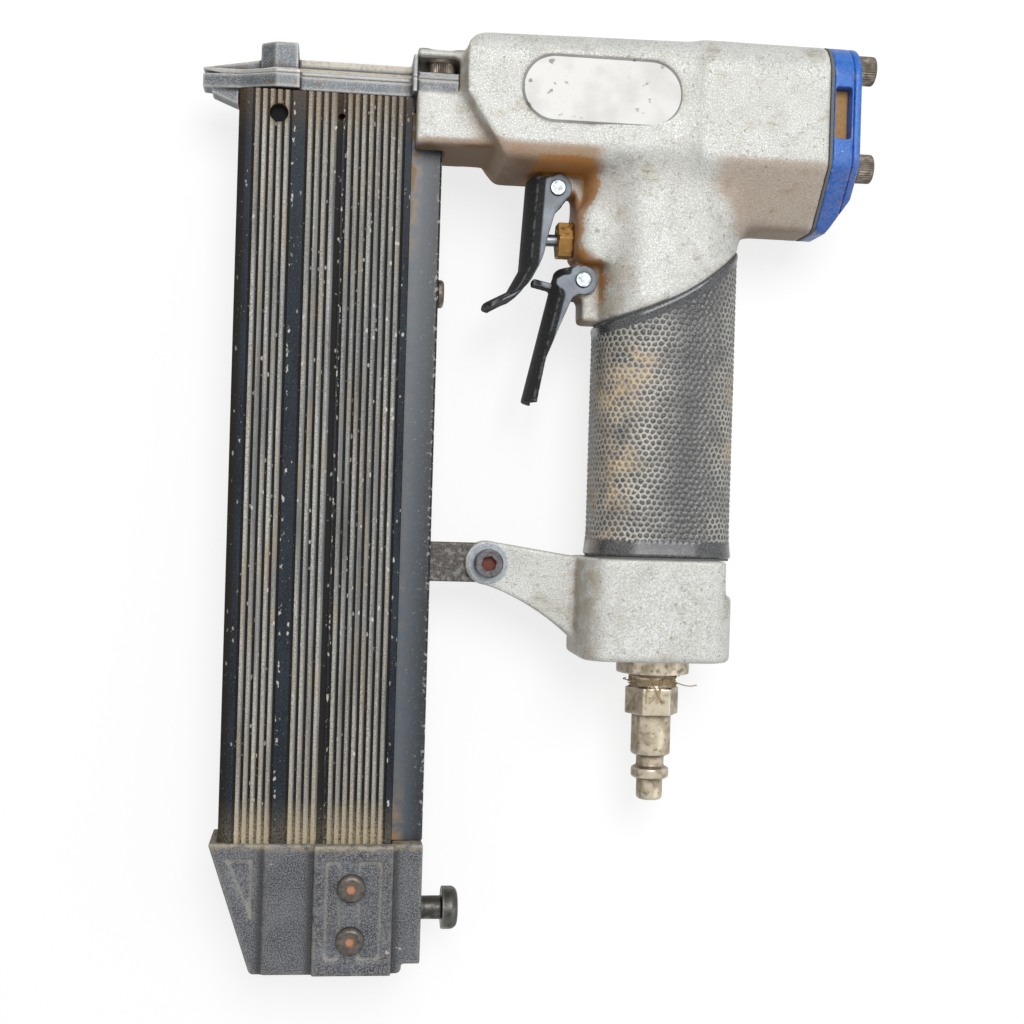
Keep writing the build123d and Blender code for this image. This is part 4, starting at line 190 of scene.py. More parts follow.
def worn_copy(
    node, voxel_mm, rubs, plugs=(), fillet=nowhere, rounds=0, spread=14,
    soil=(), under=nowhere, firm=nowhere, dark=nowhere,
):
    """Copy of a CAD node as it looks in use: hidden bores plugged, edges rubbed round, and inside corners
    filled where fillet(x, y, z) is over 0. Vertices keep how hollow, edged, soiled and dark they are.
    A plug has two ends and a radius, or two corners and 0; a soil spot has x, y, reach and amount."""
    body = bmesh.new()
    body.from_mesh(frame["nodes"][node].data)
    bmesh.ops.remove_doubles(body, verts=body.verts, dist=2e-6)
    for low, high, radius in plugs:
        if radius:
            middle = (Vector(low) + Vector(high)) / 2
            along = Vector(high) - Vector(low)
            turn = along.to_track_quat("Z", "Y").to_matrix().to_4x4()
            size = radius / 1000
            bmesh.ops.create_cone(
                body, cap_ends=True, segments=48, radius1=size, radius2=size, depth=along.length / 1000,
                matrix=Matrix.Translation(spot(*middle)) @ turn,
            )
        else:
            scale = Matrix.Diagonal([(b - a) / 1000 for a, b in zip(low, high)] + [1.0])
            middle = [(a + b) / 2 for a, b in zip(low, high)]
            bmesh.ops.create_cube(body, size=1, matrix=Matrix.Translation(spot(*middle)) @ scale)
    mesh = bpy.data.meshes.new(node + "_worn")
    body.to_mesh(mesh)
    body.free()
    piece = bpy.data.objects.new(node + "_worn", mesh)
    scene.collection.objects.link(piece)
    skin = piece.modifiers.new("skin", "REMESH")
    skin.mode = "VOXEL"
    skin.voxel_size = voxel_mm / 1000
    mesh = bpy.data.meshes.new_from_object(piece.evaluated_get(bpy.context.evaluated_depsgraph_get()))
    piece.modifiers.clear()
    piece.data = mesh
    mesh.materials.clear()
    mesh.name = node + "_worn"
    count = len(mesh.vertices)
    points = points_of(mesh)
    pairs = np.empty(len(mesh.edges) * 2, np.int32)
    mesh.edges.foreach_get("vertices", pairs)
    pairs = pairs.reshape(-1, 2).T.copy()
    ties = np.bincount(pairs.ravel(), minlength=count)

    def outward():
        """Move the mesh to the points, and read its normals there."""
        mesh.vertices.foreach_set("co", points.ravel())
        mesh.update()
        normals = np.empty(count * 3, np.float32)
        mesh.vertex_normals.foreach_get("vector", normals)
        return normals.reshape(-1, 3)

    x, y, z = (points * 1000 - (nose_x, axis_y, middle_z)).T
    share = np.clip(fillet(x, y, z), 0, 1)
    for step in range(rounds):
        if step % 4 == 0:
            normals = outward()
        pull = ((around(points, pairs, ties) - points) * normals).sum(1)
        points += normals * (np.clip(pull, 0, None) * share)[:, None]
    half_way, loose = 0.5, 1 - firm(x, y, z)[:, None]
    for step in range(rubs):
        rubbed = half_way if step < 2 else half_way * loose
        points += (around(points, pairs, ties) - points) * rubbed
    normals = outward()
    bend = ((around(points, pairs, ties) - points) * normals).sum(1) / (voxel_mm / 1000)
    stains = nowhere(x, y, z)
    for spot_x, spot_y, reach, amount in soil:
        stains += amount * np.exp(-((x - spot_x) ** 2 + (y - spot_y) ** 2) / reach**2)
    for name, value, steps, gain in (
        ("hollow", np.clip(bend, 0, None), spread, 8 + 1.3 * spread),
        ("edged", np.clip(-bend, 0, None), 2, 7.0),
        ("soil", stains, 0, 1.0),
        ("under", under(x, y, z), 0, 1.0),
        ("dark", dark(x, y, z), 0, 1.0),
    ):
        value = value[:, None]
        for step in range(steps):
            value = around(value, pairs, ties)
        store = mesh.attributes.new(name, "FLOAT", "POINT")
        store.data.foreach_set("value", np.clip(value * gain, 0, 1).astype(np.float32).ravel())
    mesh.polygons.foreach_set("use_smooth", np.ones(len(mesh.polygons), bool))
    mesh.update()
    return piece


def stand_for(piece, node, finish=None):
    """The piece takes a CAD node's place on its body, and wears a finish if one is given."""
    if finish:
        piece.data.materials.append(finish)
    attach(piece, frame["nodes"][node]["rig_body"])
    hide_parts(node)


def body_fillets(x, y, z):
    """Where the casting has wide fillets: between handle, neck, barrel and head, less at the front block."""
    joint = (x > 112.5) & (x < 180) & (y > -60) & (y < -6)
    pins = np.hypot(x - 112.6, y + 55) < 9.5
    front = (x > 74) & (x < 92) & (np.abs(z) > 12.5)
    crown = (x > 136) & (x < 150)
    return np.where(joint & ~pins, 1.0, np.where(crown, 0.8, np.where(front, 0.25, 0.0)))


def body_underside_dirt_and_shade(x, y, z):
    """Where lower faces are painted brown, as dirt and as painted shade: below barrel and head, not on the
    neck between.
    """
    low = np.clip((-15 - y) / 3, 0, 1)
    return low * np.maximum(np.clip((118 - x) / 5, 0, 1), 0.6 * np.clip((x - 147) / 5, 0, 1))


def body_pocket_shade(x, y, z):
    """The inside of the nose pocket, painted dark brown as shade."""
    return np.where((x > 61) & (x < 77) & (y > -1) & (np.abs(z) < 12.4), 1.0, 0.0)


label_x, label_y, label_half_straight = 114.8, -2.2, 13.8


def body_seats(x, y, z):
    """Machined edges that stay crisp: the blue castings' seat, the front pocket and the label's recess."""
    label = np.hypot(np.clip(np.abs(x - label_x) - label_half_straight, 0, None), y - label_y) < 11.4
    return np.where((x > 178) | (x < 76.5) | label, 1.0, 0.0)


cap_screw_ways = [(y, z) for y in (9.5, -19.5) for z in (-17.2, 17.2)]
foot_screw_xs = (123.2, 154.4)
housing = worn_copy(
    "main_housing",
    voxel_mm=0.72,
    rubs=8,
    plugs=(
        ((79, 0, 0), (150.2, 0, 0), 12.7),
        ((150, 0, 0), (171.6, 0, 0), 14.2),
        ((126, -136.35, -9.2), (151.6, -28.6, 9.2), 0),
        ((145, -33.4, -7.3), (163.6, -6.8, 7.3), 0),
        ((113, -42.3, 0), (139, -42.3, 0), 4.9),
        *[((169.5, y, z), (181.95, y, z), 2.7) for y, z in cap_screw_ways],
        *[((x, -136.35, 0), (x, -126, 0), 1.7) for x in foot_screw_xs],
    ),
    fillet=body_fillets,
    rounds=110,
    soil=(
        (99, -23.5, 4, 0.7), (105, -24.5, 5, 0.9), (111, -26, 5, 1.0), (114.5, -29, 3, 0.7),
        (110, -34, 4, 0.9), (109.5, -41, 3.5, 0.8), (109.5, -48, 3.5, 0.8), (112, -50, 2.5, 0.9),
        (116, -50.5, 2.5, 0.9), (117.5, -55, 2.5, 0.9), (117.5, -60, 2.5, 0.7),
    ),
    under=body_underside_dirt_and_shade,
    firm=body_seats,
    dark=body_pocket_shade,
)

# Sand cast aluminium: a bright grey skin with the grain of moulding sand, 0.4 to 1.1 mm, and fine cracks.
# It shows olive and brown specks, hair scuffs, and brown dirt round the trigger. Its lower sides and -X faces
# are painted brown, partly dirt and partly painted shade, and the inside of the nose pocket is painted dark
# as shade.


def facing(tree):
    """The three parts of the surface's normal."""
    return add(tree, "SeparateXYZ", {0: add(tree, "NewGeometry").outputs["Normal"]}).outputs


def away_from(tree, value, middle):
    """How far a value lies from a middle, either way."""
    off = add(tree, "Math", {0: value, 1: middle}, operation="SUBTRACT")
    return add(tree, "Math", {0: off}, operation="ABSOLUTE")


def mottle(tree, place, *rows, **settings):
    """Masks by name: noise of a size in mm, whose values from low to high become 0 to 1."""
    masks = {}
    for name, size_mm, detail, low, high in rows:
        noise = add(tree, "TexNoise", {"Vector": place, "Scale": 1000 / size_mm, "Detail": detail})
        ends = {"Value": noise.outputs["Fac"], "From Min": low, "From Max": high}
        masks[name] = add(tree, "MapRange", ends, **settings).outputs[0]
    return masks


def layered(tree, base, *layers):
    """A base colour under layers, each with masks that limit each other, often a strength, and a tint."""
    colour = linear(base)
    for cover, *limits, tint in layers:
        for limit in limits:
            cover = add(tree, "Math", {0: cover, 1: limit}, operation="MULTIPLY")
        colour = add(tree, "Mix", {0: cover, 6: colour, 7: linear(tint)}, data_type="RGBA").outputs[2]
    return colour


def dress(tree, inputs):
    """Fill the inputs of a material's shader."""
    fill(tree, tree.nodes["Principled BSDF"], inputs)


cast_skin, tree, place = new_finish("sand_cast_aluminium")
side = facing(tree)
hollow, edged, soil, under, dark = [
    add(tree, "Attribute", attribute_name=name).outputs["Fac"]
    for name in ("hollow", "edged", "soil", "under", "dark")
]
masks = mottle(
    tree, place,
    ("grain", 0.4, 2.0, 0.42, 0.60),
    ("sand", 1.1, 3.0, 0.40, 0.62),
    ("cloud", 13.0, 5.0, 0.38, 0.66),
    ("speck", 1.5, 3.0, 0.66, 0.70),
    ("stain", 9.0, 5.0, 0.56, 0.70),
    ("dust", 5.0, 6.0, 0.28, 0.58),
    ("rub", 7.0, 5.0, 0.40, 0.70),
    ("where", 6.0, 2.0, 0.50, 0.60),
    interpolation_type="SMOOTHSTEP",
)
for name, turn, stretch, width, within in (
    ("crack", 0.4, (480, 480, 480), 0.036, "where"),
    ("scuff", 0.6, (60, 420, 200), 0.030, "stain"),
    ("scratch", 2.3, (60, 480, 220), 0.030, "stain"),
):
    lines = add(tree, "Mapping", {"Vector": place, "Rotation": (0, 0, turn), "Scale": stretch})
    noise = add(tree, "TexNoise", {"Vector": lines, "Scale": 1.0, "Detail": 3.0, "Roughness": 0.5})
    away = away_from(tree, noise.outputs["Fac"], 0.5)
    thin = add(tree, "MapRange", {"Value": away, "From Max": width, "To Min": 1, "To Max": 0})
    masks[name] = add(tree, "Math", {0: thin, 1: masks[within]}, operation="MULTIPLY")
# Faces turned down and faces turned to -X take brown tints: partly dirt and dust, partly painted shade.
for name, axis, start, full, within in (
    ("slope", "Y", -0.1, -0.4, under),
    ("steep", "Y", -0.6, -0.95, under),
    ("left", "X", -0.25, -0.85, masks["dust"]),
):
    ends = {"Value": side[axis], "From Min": start, "From Max": full}
    turned = add(tree, "MapRange", ends, interpolation_type="SMOOTHSTEP")
    masks[name] = add(tree, "Math", {0: turned, 1: within}, operation="MULTIPLY")
turned = add(tree, "MapRange", {"Value": side["Z"], "From Min": 0.95, "From Max": 0.70})
soil = add(tree, "Math", {0: soil, 1: turned}, operation="MULTIPLY")
soil = add(tree, "Math", {0: masks["sand"], 1: 0.25, 2: soil}, operation="MULTIPLY_ADD")
ends = {"Value": soil, "From Min": 0.38, "From Max": 0.75}
soil = add(tree, "MapRange", ends, interpolation_type="SMOOTHSTEP")
deep = add(tree, "Math", {0: hollow, 1: 3.0}, operation="POWER")
colour = layered(
    tree, "e6e7e3",
    (masks["cloud"], 0.40, "c8c7c1"),
    (masks["sand"], 0.20, "b4b2aa"),
    (masks["grain"], 0.55, "a5a49e"),
    (masks["stain"], 0.30, "b0a587"),
    (masks["speck"], 0.60, "84795a"),
    (masks["crack"], 0.42, "6f6c64"),
    (masks["scuff"], 0.45, "6b675e"),
    (masks["scratch"], 0.40, "7a766e"),
    # Painted shade, partly dirt: brown on downward slopes, dark brown on steep downward faces, brown on -X
    # faces.
    (masks["slope"], 0.85, "b08f70"),
    (masks["left"], 0.50, "a08b70"),
    (masks["steep"], 0.70, "6a4d30"),
    (hollow, masks["dust"], 0.60, "8d7049"),
    (deep, 0.60, "6d5232"),
    (soil, 0.80, "b0742f"),
    # Painted shade: the inside of the nose pocket is dark brown.
    (dark, 0.85, "4b3d2b"),
    (edged, masks["rub"], 0.50, "ebeae7"),
)
pits = add(tree, "TexVoronoi", {"Vector": place, "Scale": 1000 / 0.8}, feature="SMOOTH_F1")
relief = add(tree, "Math", {0: masks["grain"], 1: pits.outputs["Distance"]}, operation="ADD")
bump = add(tree, "Bump", {"Height": relief, "Strength": 0.5, "Distance": 0.00010})
dull = add(tree, "MapRange", {"Value": masks["slope"], "To Min": 0.48, "To Max": 0.7})
dress(tree, {"Base Color": colour, "Roughness": dull, "Normal": bump, "Metallic": 0.2})
stand_for(housing, "main_housing", cast_skin)

# Label: a thin aluminium plate with a white stove enamel face and a fine dark border, bonded into the flank's
# recess. The border is partly print and partly painted shadow of the gap round the plate.
# It is plain, with a few brown tears in its face and greasy grey rub marks.


def coat(material, *nodes):
    """Give CAD nodes that keep their own shape a finish."""
    for node in nodes:
        for slot in frame["nodes"][node].material_slots:
            slot.material = material


label_face, tree, place = new_finish("white_enamelled_plate")
from_middle = add(tree, "VectorMath", {0: place, 1: spot(label_x, label_y)}, operation="SUBTRACT")
plan = add(tree, "SeparateXYZ", {0: from_middle}).outputs
ends = add(tree, "Math", {0: plan["X"]}, operation="ABSOLUTE")
ends = add(tree, "Math", {0: ends, 1: label_half_straight / 1000}, operation="SUBTRACT")
ends = add(tree, "Math", {0: ends, 1: 0.0}, operation="MAXIMUM")
reach = add(tree, "CombineXYZ", {"X": ends, "Y": plan["Y"]})
reach = add(tree, "VectorMath", {0: reach}, operation="LENGTH").outputs["Value"]
border_r, border_blur = 0.0090, 0.0001
# The dark border ring: partly print, partly painted shadow of the gap round the plate.
border = add(tree, "MapRange", {"Value": reach, "From Min": border_r, "From Max": border_r + border_blur})
masks = mottle(
    tree, place,
    ("tear", 3.4, 6.0, 0.63, 0.65),
    ("where", 17.0, 2.0, 0.50, 0.58),
    ("rub", 9.0, 6.0, 0.45, 0.75),
    ("grit", 0.7, 2.0, 0.66, 0.72),
)
torn = add(tree, "Math", {0: masks["tear"], 1: masks["where"]}, operation="MULTIPLY")
colour = layered(
    tree, "e3e2df",
    (masks["rub"], 0.22, "c8c3b9"),
    (masks["grit"], 0.25, "a59c8c"),
    (torn, 0.85, "7b7062"),
    (border, 0.85, "3d3b38"),
)
dull = add(tree, "MapRange", {"Value": masks["rub"], "To Min": 0.34, "To Max": 0.55})
dents = add(tree, "Bump", {"Height": torn, "Strength": 0.4, "Distance": -0.0002})
dress(tree, {"Base Color": colour, "Roughness": dull, "Normal": dents})
coat(label_face, "label_plate")

# Exhaust cap and cover: two aluminium die castings behind the head, painted blue, held by four long screws.
# The paint is orange peeled, faded in small patches, chipped to bare metal on its edges, and dusty below.
blue_paint, tree, place = new_finish("blue_sprayed_enamel")
hollow, edged, soil = [
    add(tree, "Attribute", attribute_name=name).outputs["Fac"] for name in ("hollow", "edged", "soil")
]
masks = mottle(
    tree, place,
    ("peel", 0.9, 2.0, 0.3, 0.7),
    ("fade", 2.4, 5.0, 0.40, 0.68),
    ("chip", 4.5, 6.0, 0.54, 0.60),
    ("dust", 0.6, 4.0, 0.44, 0.58),
    ("nick", 1.0, 3.0, 0.69, 0.72),
)
bare = add(tree, "MapRange", {"Value": edged, "From Min": 0.35, "From Max": 0.75})
bare = add(tree, "Math", {0: bare, 1: masks["chip"]}, operation="MULTIPLY")
bare = add(tree, "Math", {0: bare, 1: masks["nick"]}, operation="MAXIMUM")
colour = layered(
    tree, "1f68c6",
    (masks["fade"], 0.35, "62a0ee"),
    (masks["peel"], 0.25, "1a4da2"),
    # Painted shade: the paint is darker blue in its hollows.
    (hollow, 0.40, "15305f"),
    (soil, masks["dust"], 0.60, "a07c52"),
    (bare, 0.70, "a9a8a6"),
)
metal = add(tree, "Math", {0: bare, 1: 0.7}, operation="MULTIPLY")
dull = add(tree, "MapRange", {"Value": masks["fade"], "To Min": 0.32, "To Max": 0.52})
skin_relief = add(tree, "Math", {0: masks["peel"], 1: bare}, operation="SUBTRACT")
bump = add(tree, "Bump", {"Height": skin_relief, "Strength": 0.35, "Distance": 0.0001})
dress(tree, {"Base Color": colour, "Roughness": dull, "Metallic": metal, "Normal": bump})
for node, rubs in (("exhaust_cap", 2), ("exhaust_cover", 4)):
    casting = worn_copy(node, voxel_mm=0.46, rubs=rubs, soil=((190, -23, 6, 0.7), (186, -33, 6, 0.6)))
    stand_for(casting, node, blue_paint)

# Exhaust filter: pads of needled wool felt in the slots of the cap, tan with oily sawdust.
# A fibre shows as a fine lengthwise streak, about 0.4 mm here, which is as thin as the picture can hold.
felt, tree, place = new_finish("needled_wool_felt")
across, along_share = 1000 / 0.4, 0.28
fibres = add(tree, "Mapping", {"Vector": place, "Scale": (across, across * along_share, across)})
noise = add(tree, "TexNoise", {"Vector": fibres, "Scale": 1.0, "Detail": 4.0}).outputs["Fac"]
colour = layered(tree, "8d6437", (noise, "d9ae77"))
bump = add(tree, "Bump", {"Height": noise, "Strength": 0.8, "Distance": 0.0003})
dress(tree, {"Base Color": colour, "Normal": bump, "Roughness": 0.95})
coat(felt, "exhaust_filter")

# Socket screws: cold headed alloy steel with a hexagon socket, their zinc gone dull and brown.
# The cap and nose screws have knurled heads, the bracket's screw a rusted socket, and the end cap's are oiled
# black. Each stands on its seat turned as it was left.


def socket_screw(head_r, head_h, key, edge, shank_r, shank_l, knurled=False):
    """Mesh of one screw in mm, seat at the origin and head along +Z."""
    steps = 72
    bevel = []
    for angle in (0, 0.52, 1.05, 1.57):
        bevel.append((head_r - edge + edge * math.sin(angle), head_h - edge + edge * math.cos(angle)))
    least_floor, mouth_depth, mouth_flare, knurl_depth = 0.4, 0.12, 1.07, 0.22
    seat_edge, knurl_foot, tip_edge = 0.3, 0.35, 0.4
    floor = head_h - min(key / 2, head_h - least_floor)
    rows = [
        ("hex", 0.0, floor),
        ("hex", 1.0, floor),
        ("hex", 1.0, head_h - mouth_depth),
        ("hex", mouth_flare, head_h),
        *[("round", *point) for point in bevel[:3]],
        ("knurl", *bevel[3]),
        ("knurl", head_r, knurl_foot),
        ("round", head_r - seat_edge, 0.0),
        ("round", shank_r, 0.0),
        ("round", shank_r, tip_edge - shank_l),
        ("round", shank_r - tip_edge, -shank_l),
        ("round", 0.0, -shank_l),
    ]
    points, faces = [], []
    for kind, radius, height in rows:
        for step in range(steps):
            angle = 2 * math.pi * step / steps
            reach = radius
            if kind == "hex":
                reach *= key / 2 / math.cos((angle % (math.pi / 3)) - math.pi / 6)
            elif kind == "knurl" and knurled:
                reach -= knurl_depth * (step % 2)
            points.append((reach * math.cos(angle) / 1000, reach * math.sin(angle) / 1000, height / 1000))
    for row in range(len(rows) - 1):
        for step in range(steps):
            ahead = (step + 1) % steps
            first, second = row * steps, (row + 1) * steps
            faces.append((first + step, second + step, second + ahead, first + ahead))
    mesh = bpy.data.meshes.new("screw")
    mesh.from_pydata(points, [], faces)
    shape = bmesh.new()
    shape.from_mesh(mesh)
    bmesh.ops.remove_doubles(shape, verts=shape.verts, dist=1e-7)
    bmesh.ops.dissolve_degenerate(shape, edges=shape.edges, dist=1e-7)
    bmesh.ops.recalc_face_normals(shape, faces=shape.faces)
    shape.to_mesh(mesh)
    shape.free()
    socket = mesh.attributes.new("socket", "FLOAT", "POINT")
    for index, vertex in enumerate(mesh.vertices):
        out, height = math.hypot(*vertex.co[:2]) * 1000, vertex.co[2] * 1000
        within = out < key * 0.6 and floor - 0.01 < height < head_h - 0.05
        socket.data[index].value = 1.0 if within else 0.0
    return mesh


def new_tree(name, inputs, result):
    """Geometry Nodes tree with inputs by name and kind and one geometry as its result, and its inputs."""
    tree = bpy.data.node_groups.new(name, "GeometryNodeTree")
    for socket, kind in inputs.items():
        tree.interface.new_socket(socket, in_out="INPUT", socket_type="NodeSocket" + kind)
    tree.interface.new_socket(result, in_out="OUTPUT", socket_type="NodeSocketGeometry")
    return tree, add(tree, "NodeGroupInput").outputs


def end_tree(tree, geometry, finish):
    """Make a tree's geometry real, give it a finish, and end the tree with it."""
    whole = add(tree, "GeometryNodeRealizeInstances", {"Geometry": geometry})
    finished = add(tree, "GeometryNodeSetMaterial", {"Geometry": whole, "Material": finish})
    add(tree, "NodeGroupOutput", {0: finished})


screw_tree, wanted = new_tree(
    "screws_on_seats",
    {"Seats": "Geometry", "Screw": "Object", "Turn": "Vector", "Seed": "Int", "Finish": "Material"},
    "Screws",
)
template = add(screw_tree, "GeometryNodeObjectInfo", {"Object": wanted["Screw"]}).outputs["Geometry"]
seating = {"Points": wanted["Seats"], "Instance": template, "Rotation": wanted["Turn"]}
on_seats = add(screw_tree, "GeometryNodeInstanceOnPoints", seating)
sixth_turn = {"Max": (0.0, 0.0, 1.05), "Seed": wanted["Seed"]}
left_at = add(screw_tree, "FunctionNodeRandomValue", sixth_turn, data_type="FLOAT_VECTOR")
driven = add(screw_tree, "GeometryNodeRotateInstances", {"Instances": on_seats, "Rotation": left_at})
end_tree(screw_tree, driven, wanted["Finish"])


def by_nodes(piece, tree, values):
    """Run a node tree on a piece with its inputs set by name, and keep the result as a plain mesh."""
    modifier = piece.modifiers.new(tree.name, "NODES")
    modifier.node_group = tree
    for item in tree.interface.items_tree:
        if item.in_out == "INPUT" and item.name in values:
            modifier[item.identifier] = values[item.name]
    mesh = bpy.data.meshes.new_from_object(piece.evaluated_get(bpy.context.evaluated_depsgraph_get()))
    piece.modifiers.clear()
    piece.data = mesh


def put_screws(node, seats, axis, finish, slot, seed, **sizes):
    """Screws of one size on their seats, in place of a CAD node."""
    model = bpy.data.objects.new(node + "_model", socket_screw(**sizes))
    scene.collection.objects.link(model)
    seat_mesh = bpy.data.meshes.new(node + "_seats")
    seat_mesh.from_pydata([spot(*seat) for seat in seats], [], [])
    screws = bpy.data.objects.new(node + "_set", seat_mesh)
    scene.collection.objects.link(screws)
    turn = Vector(axis).to_track_quat("Z", "Y").to_euler()
    by_nodes(screws, screw_tree, {"Screw": model, "Turn": turn, "Seed": seed, "Finish": finish})
    bpy.data.objects.remove(model)
    stand_for(screws, node)


screw_finishes = []
for name, base, light, rust, all_over in (
    ("tarnished_zinc_steel", "6f675d", "958f86", "4c3d2e", 0.5),
    ("rusted_socket_steel", "45454a", "6d6e72", "7d4533", 0.06),
    ("oiled_black_steel", "4c4a47", "6f6c69", "d8a583", 0.06),
):
    material, tree, place = new_finish(name)
    socket = add(tree, "Attribute", attribute_name="socket").outputs["Fac"]
    masks = mottle(
        tree, place,
        ("rust", 1.6, 6.0, 0.42, 0.58),
        ("dust", 0.7, 4.0, 0.55, 0.70),
        ("shine", 2.0, 4.0, 0.40, 0.60),
    )
    rusty = add(tree, "Math", {0: masks["rust"], 1: all_over}, operation="MULTIPLY")
    rusty = add(tree, "Math", {0: rusty, 1: socket}, operation="MAXIMUM")
    colour = layered(
        tree, base,
        (masks["shine"], 0.6, light),
        (rusty, 0.85, rust),
        (masks["dust"], 0.35, "8f7c60"),
    )
    dull = add(tree, "MapRange", {"Value": rusty, "To Min": 0.36, "To Max": 0.8})
    metal = add(tree, "MapRange", {"Value": rusty, "To Min": 0.85, "To Max": 0.1})
    bump = add(tree, "Bump", {"Height": masks["rust"], "Strength": 0.3, "Distance": 0.00006})
    dress(tree, {"Base Color": colour, "Roughness": dull, "Metallic": metal, "Normal": bump})
    screw_finishes.append(material)
screw_steel, red_rust, oiled_button = screw_finishes
put_screws(
    "cap_screws", [(191.3, y, z) for y, z in cap_screw_ways], (1, 0, 0), screw_steel, "screw_steel", seed=3,
    head_r=4.25, head_h=5.0, key=4.0, edge=0.5, shank_r=2.5, shank_l=21.3, knurled=True,
)

# Cap gasket: a thin sheet of oiled fibre between the head and the blue castings, grey along its cut edge.
# The same fibre seals the handle's foot.
fibre_sheet, tree, place = new_finish("oiled_fibre_gasket")
noise = add(tree, "TexNoise", {"Vector": place, "Scale": 1000 / 0.6, "Detail": 5.0}).outputs["Fac"]
colour = layered(tree, "54565c", (noise, "86847f"))
bump = add(tree, "Bump", {"Height": noise, "Strength": 0.5, "Distance": 0.0001})
dress(tree, {"Base Color": colour, "Normal": bump, "Roughness": 0.8})
coat(fibre_sheet, "cap_gasket", "tail_gasket")

# Nose: two hardened steel plates screwed into the front pocket, with the driver blade's channel between them.
# Their bluing is worn to grey, stained brown, and pale dust lies along the top ridge.


def between(tree, place, *rows):
    """Masks by name: 0 to 1 from one place to another, in mm along axis 0 or 1 of the tool."""
    where = add(tree, "SeparateXYZ", {0: place})
    masks = {}
    for name, axis, start_mm, full_mm in rows:
        start, full = spot(start_mm, start_mm)[axis], spot(full_mm, full_mm)[axis]
        ends = {"Value": where.outputs[axis], "From Min": start, "From Max": full}
        masks[name] = add(tree, "MapRange", ends).outputs[0]
    return masks


nose_steel, tree, place = new_finish("worn_blued_tool_steel")
side = facing(tree)
hollow, edged = [
    add(tree, "Attribute", attribute_name=name).outputs["Fac"] for name in ("hollow", "edged")
]
masks = mottle(
    tree, place,
    ("cloud", 5.0, 6.0, 0.40, 0.64),
    ("pit", 0.5, 3.0, 0.46, 0.62),
    ("speck", 0.38, 2.0, 0.52, 0.66),
    ("stain", 3.0, 6.0, 0.54, 0.66),
    ("dust", 1.4, 6.0, 0.10, 0.50),
)
masks |= between(tree, place, ("crown", 1, 4.0, 4.9))
ridge_half, ridge_start = 0.0063, spot(28.2, 0).x
ridge_top = add(tree, "MapRange", {"Value": side["Y"], "From Min": 0.35, "From Max": 0.6})
where = add(tree, "SeparateXYZ", {0: place}).outputs
wide = away_from(tree, where["Z"], middle_z / 1000)
slim = add(tree, "Math", {0: wide, 1: ridge_half}, operation="LESS_THAN")
clear = add(tree, "Math", {0: where["X"], 1: ridge_start}, operation="GREATER_THAN")
slim = add(tree, "Math", {0: slim, 1: clear}, operation="MULTIPLY")
crown = add(tree, "Math", {0: masks["crown"], 1: slim}, operation="MULTIPLY")
ridge_top = add(tree, "Math", {0: ridge_top, 1: crown}, operation="MAXIMUM")
dusty = add(tree, "Math", {0: ridge_top, 1: masks["dust"]}, operation="MULTIPLY")
colour = layered(
    tree, "686c70",
    (masks["cloud"], 0.55, "4a4f55"),
    (masks["pit"], 0.50, "2d3034"),
    (masks["speck"], 0.40, "b9bab9"),
    (masks["stain"], 0.40, "5f4b36"),
    # Painted shade: the steel is near black in its hollows.
    (hollow, 0.55, "2c2924"),
    (dusty, 0.88, "e8dfcf"),
    (edged, 0.70, "e6e4df"),
)
dull = add(tree, "MapRange", {"Value": dusty, "To Min": 0.46, "To Max": 0.85})
metal = add(tree, "MapRange", {"Value": dusty, "To Min": 0.6, "To Max": 0.0})
bump = add(tree, "Bump", {"Height": masks["speck"], "Strength": 0.35, "Distance": 0.00008})
dress(tree, {"Base Color": colour, "Roughness": dull, "Metallic": metal, "Normal": bump})
for node in ("nose_guide", "nose_cover"):
    plate = worn_copy(node, voxel_mm=0.3, rubs=3)
    stand_for(plate, node, nose_steel)
put_screws(
    "nose_screws", [(69.0, 2.6, z) for z in (-7.3, 7.3)], (0, 1, 0), screw_steel, "screw_steel", seed=5,
    head_r=3.8, head_h=3.5, key=4.0, edge=0.5, shank_r=2.0, shank_l=9.6, knurled=True,
)

# Trigger and safety lever: channels pressed from steel sheet, painted black, each turning on a riveted pin.
# The flanks are painted blue-grey, partly greyed by handling and partly painted sheen; handling has bared
# the edges, while the fronts stay black.
pressed_steel, tree, place = new_finish("black_painted_steel")
side = facing(tree)
hollow, edged, behind = [
    add(tree, "Attribute", attribute_name=name).outputs["Fac"] for name in ("hollow", "edged", "behind")
]
flank = add(tree, "Math", {0: side["Z"]}, operation="ABSOLUTE")
flank = add(tree, "MapRange", {"Value": flank, "From Min": 0.55, "From Max": 0.9})
flank = add(tree, "Math", {0: flank, 1: behind}, operation="MULTIPLY")
masks = mottle(
    tree, place,
    ("cloud", 6.0, 5.0, 0.40, 0.66),
    ("pepper", 0.55, 2.0, 0.58, 0.68),
    ("rubbed", 2.4, 6.0, 0.42, 0.56),
    ("dust", 1.8, 5.0, 0.45, 0.65),
)
bare = add(tree, "MapRange", {"Value": edged, "From Min": 0.3, "From Max": 0.8})
bare = add(tree, "Math", {0: bare, 1: masks["rubbed"]}, operation="MULTIPLY")
handled_and_sheen = add(tree, "MapRange", {"Value": masks["cloud"], "To Min": 0.55, "To Max": 1.0})
colour = layered(
    tree, "0f1011",
    (masks["pepper"], 0.25, "6d6f73"),
    # Painted sheen, partly handling wear: the flanks are light blue-grey.
    (handled_and_sheen, flank, 0.88, "949ea9"),
    (hollow, masks["dust"], 0.60, "7a5c38"),
    (bare, 0.75, "9a9ca0"),
)
metal = add(tree, "Math", {0: bare, 1: 0.8}, operation="MULTIPLY")
dull = add(tree, "MapRange", {"Value": flank, "To Min": 0.85, "To Max": 0.42})
bump = add(tree, "Bump", {"Height": masks["pepper"], "Strength": 0.2, "Distance": 0.00006})
dress(tree, {"Base Color": colour, "Roughness": dull, "Metallic": metal, "Normal": bump})


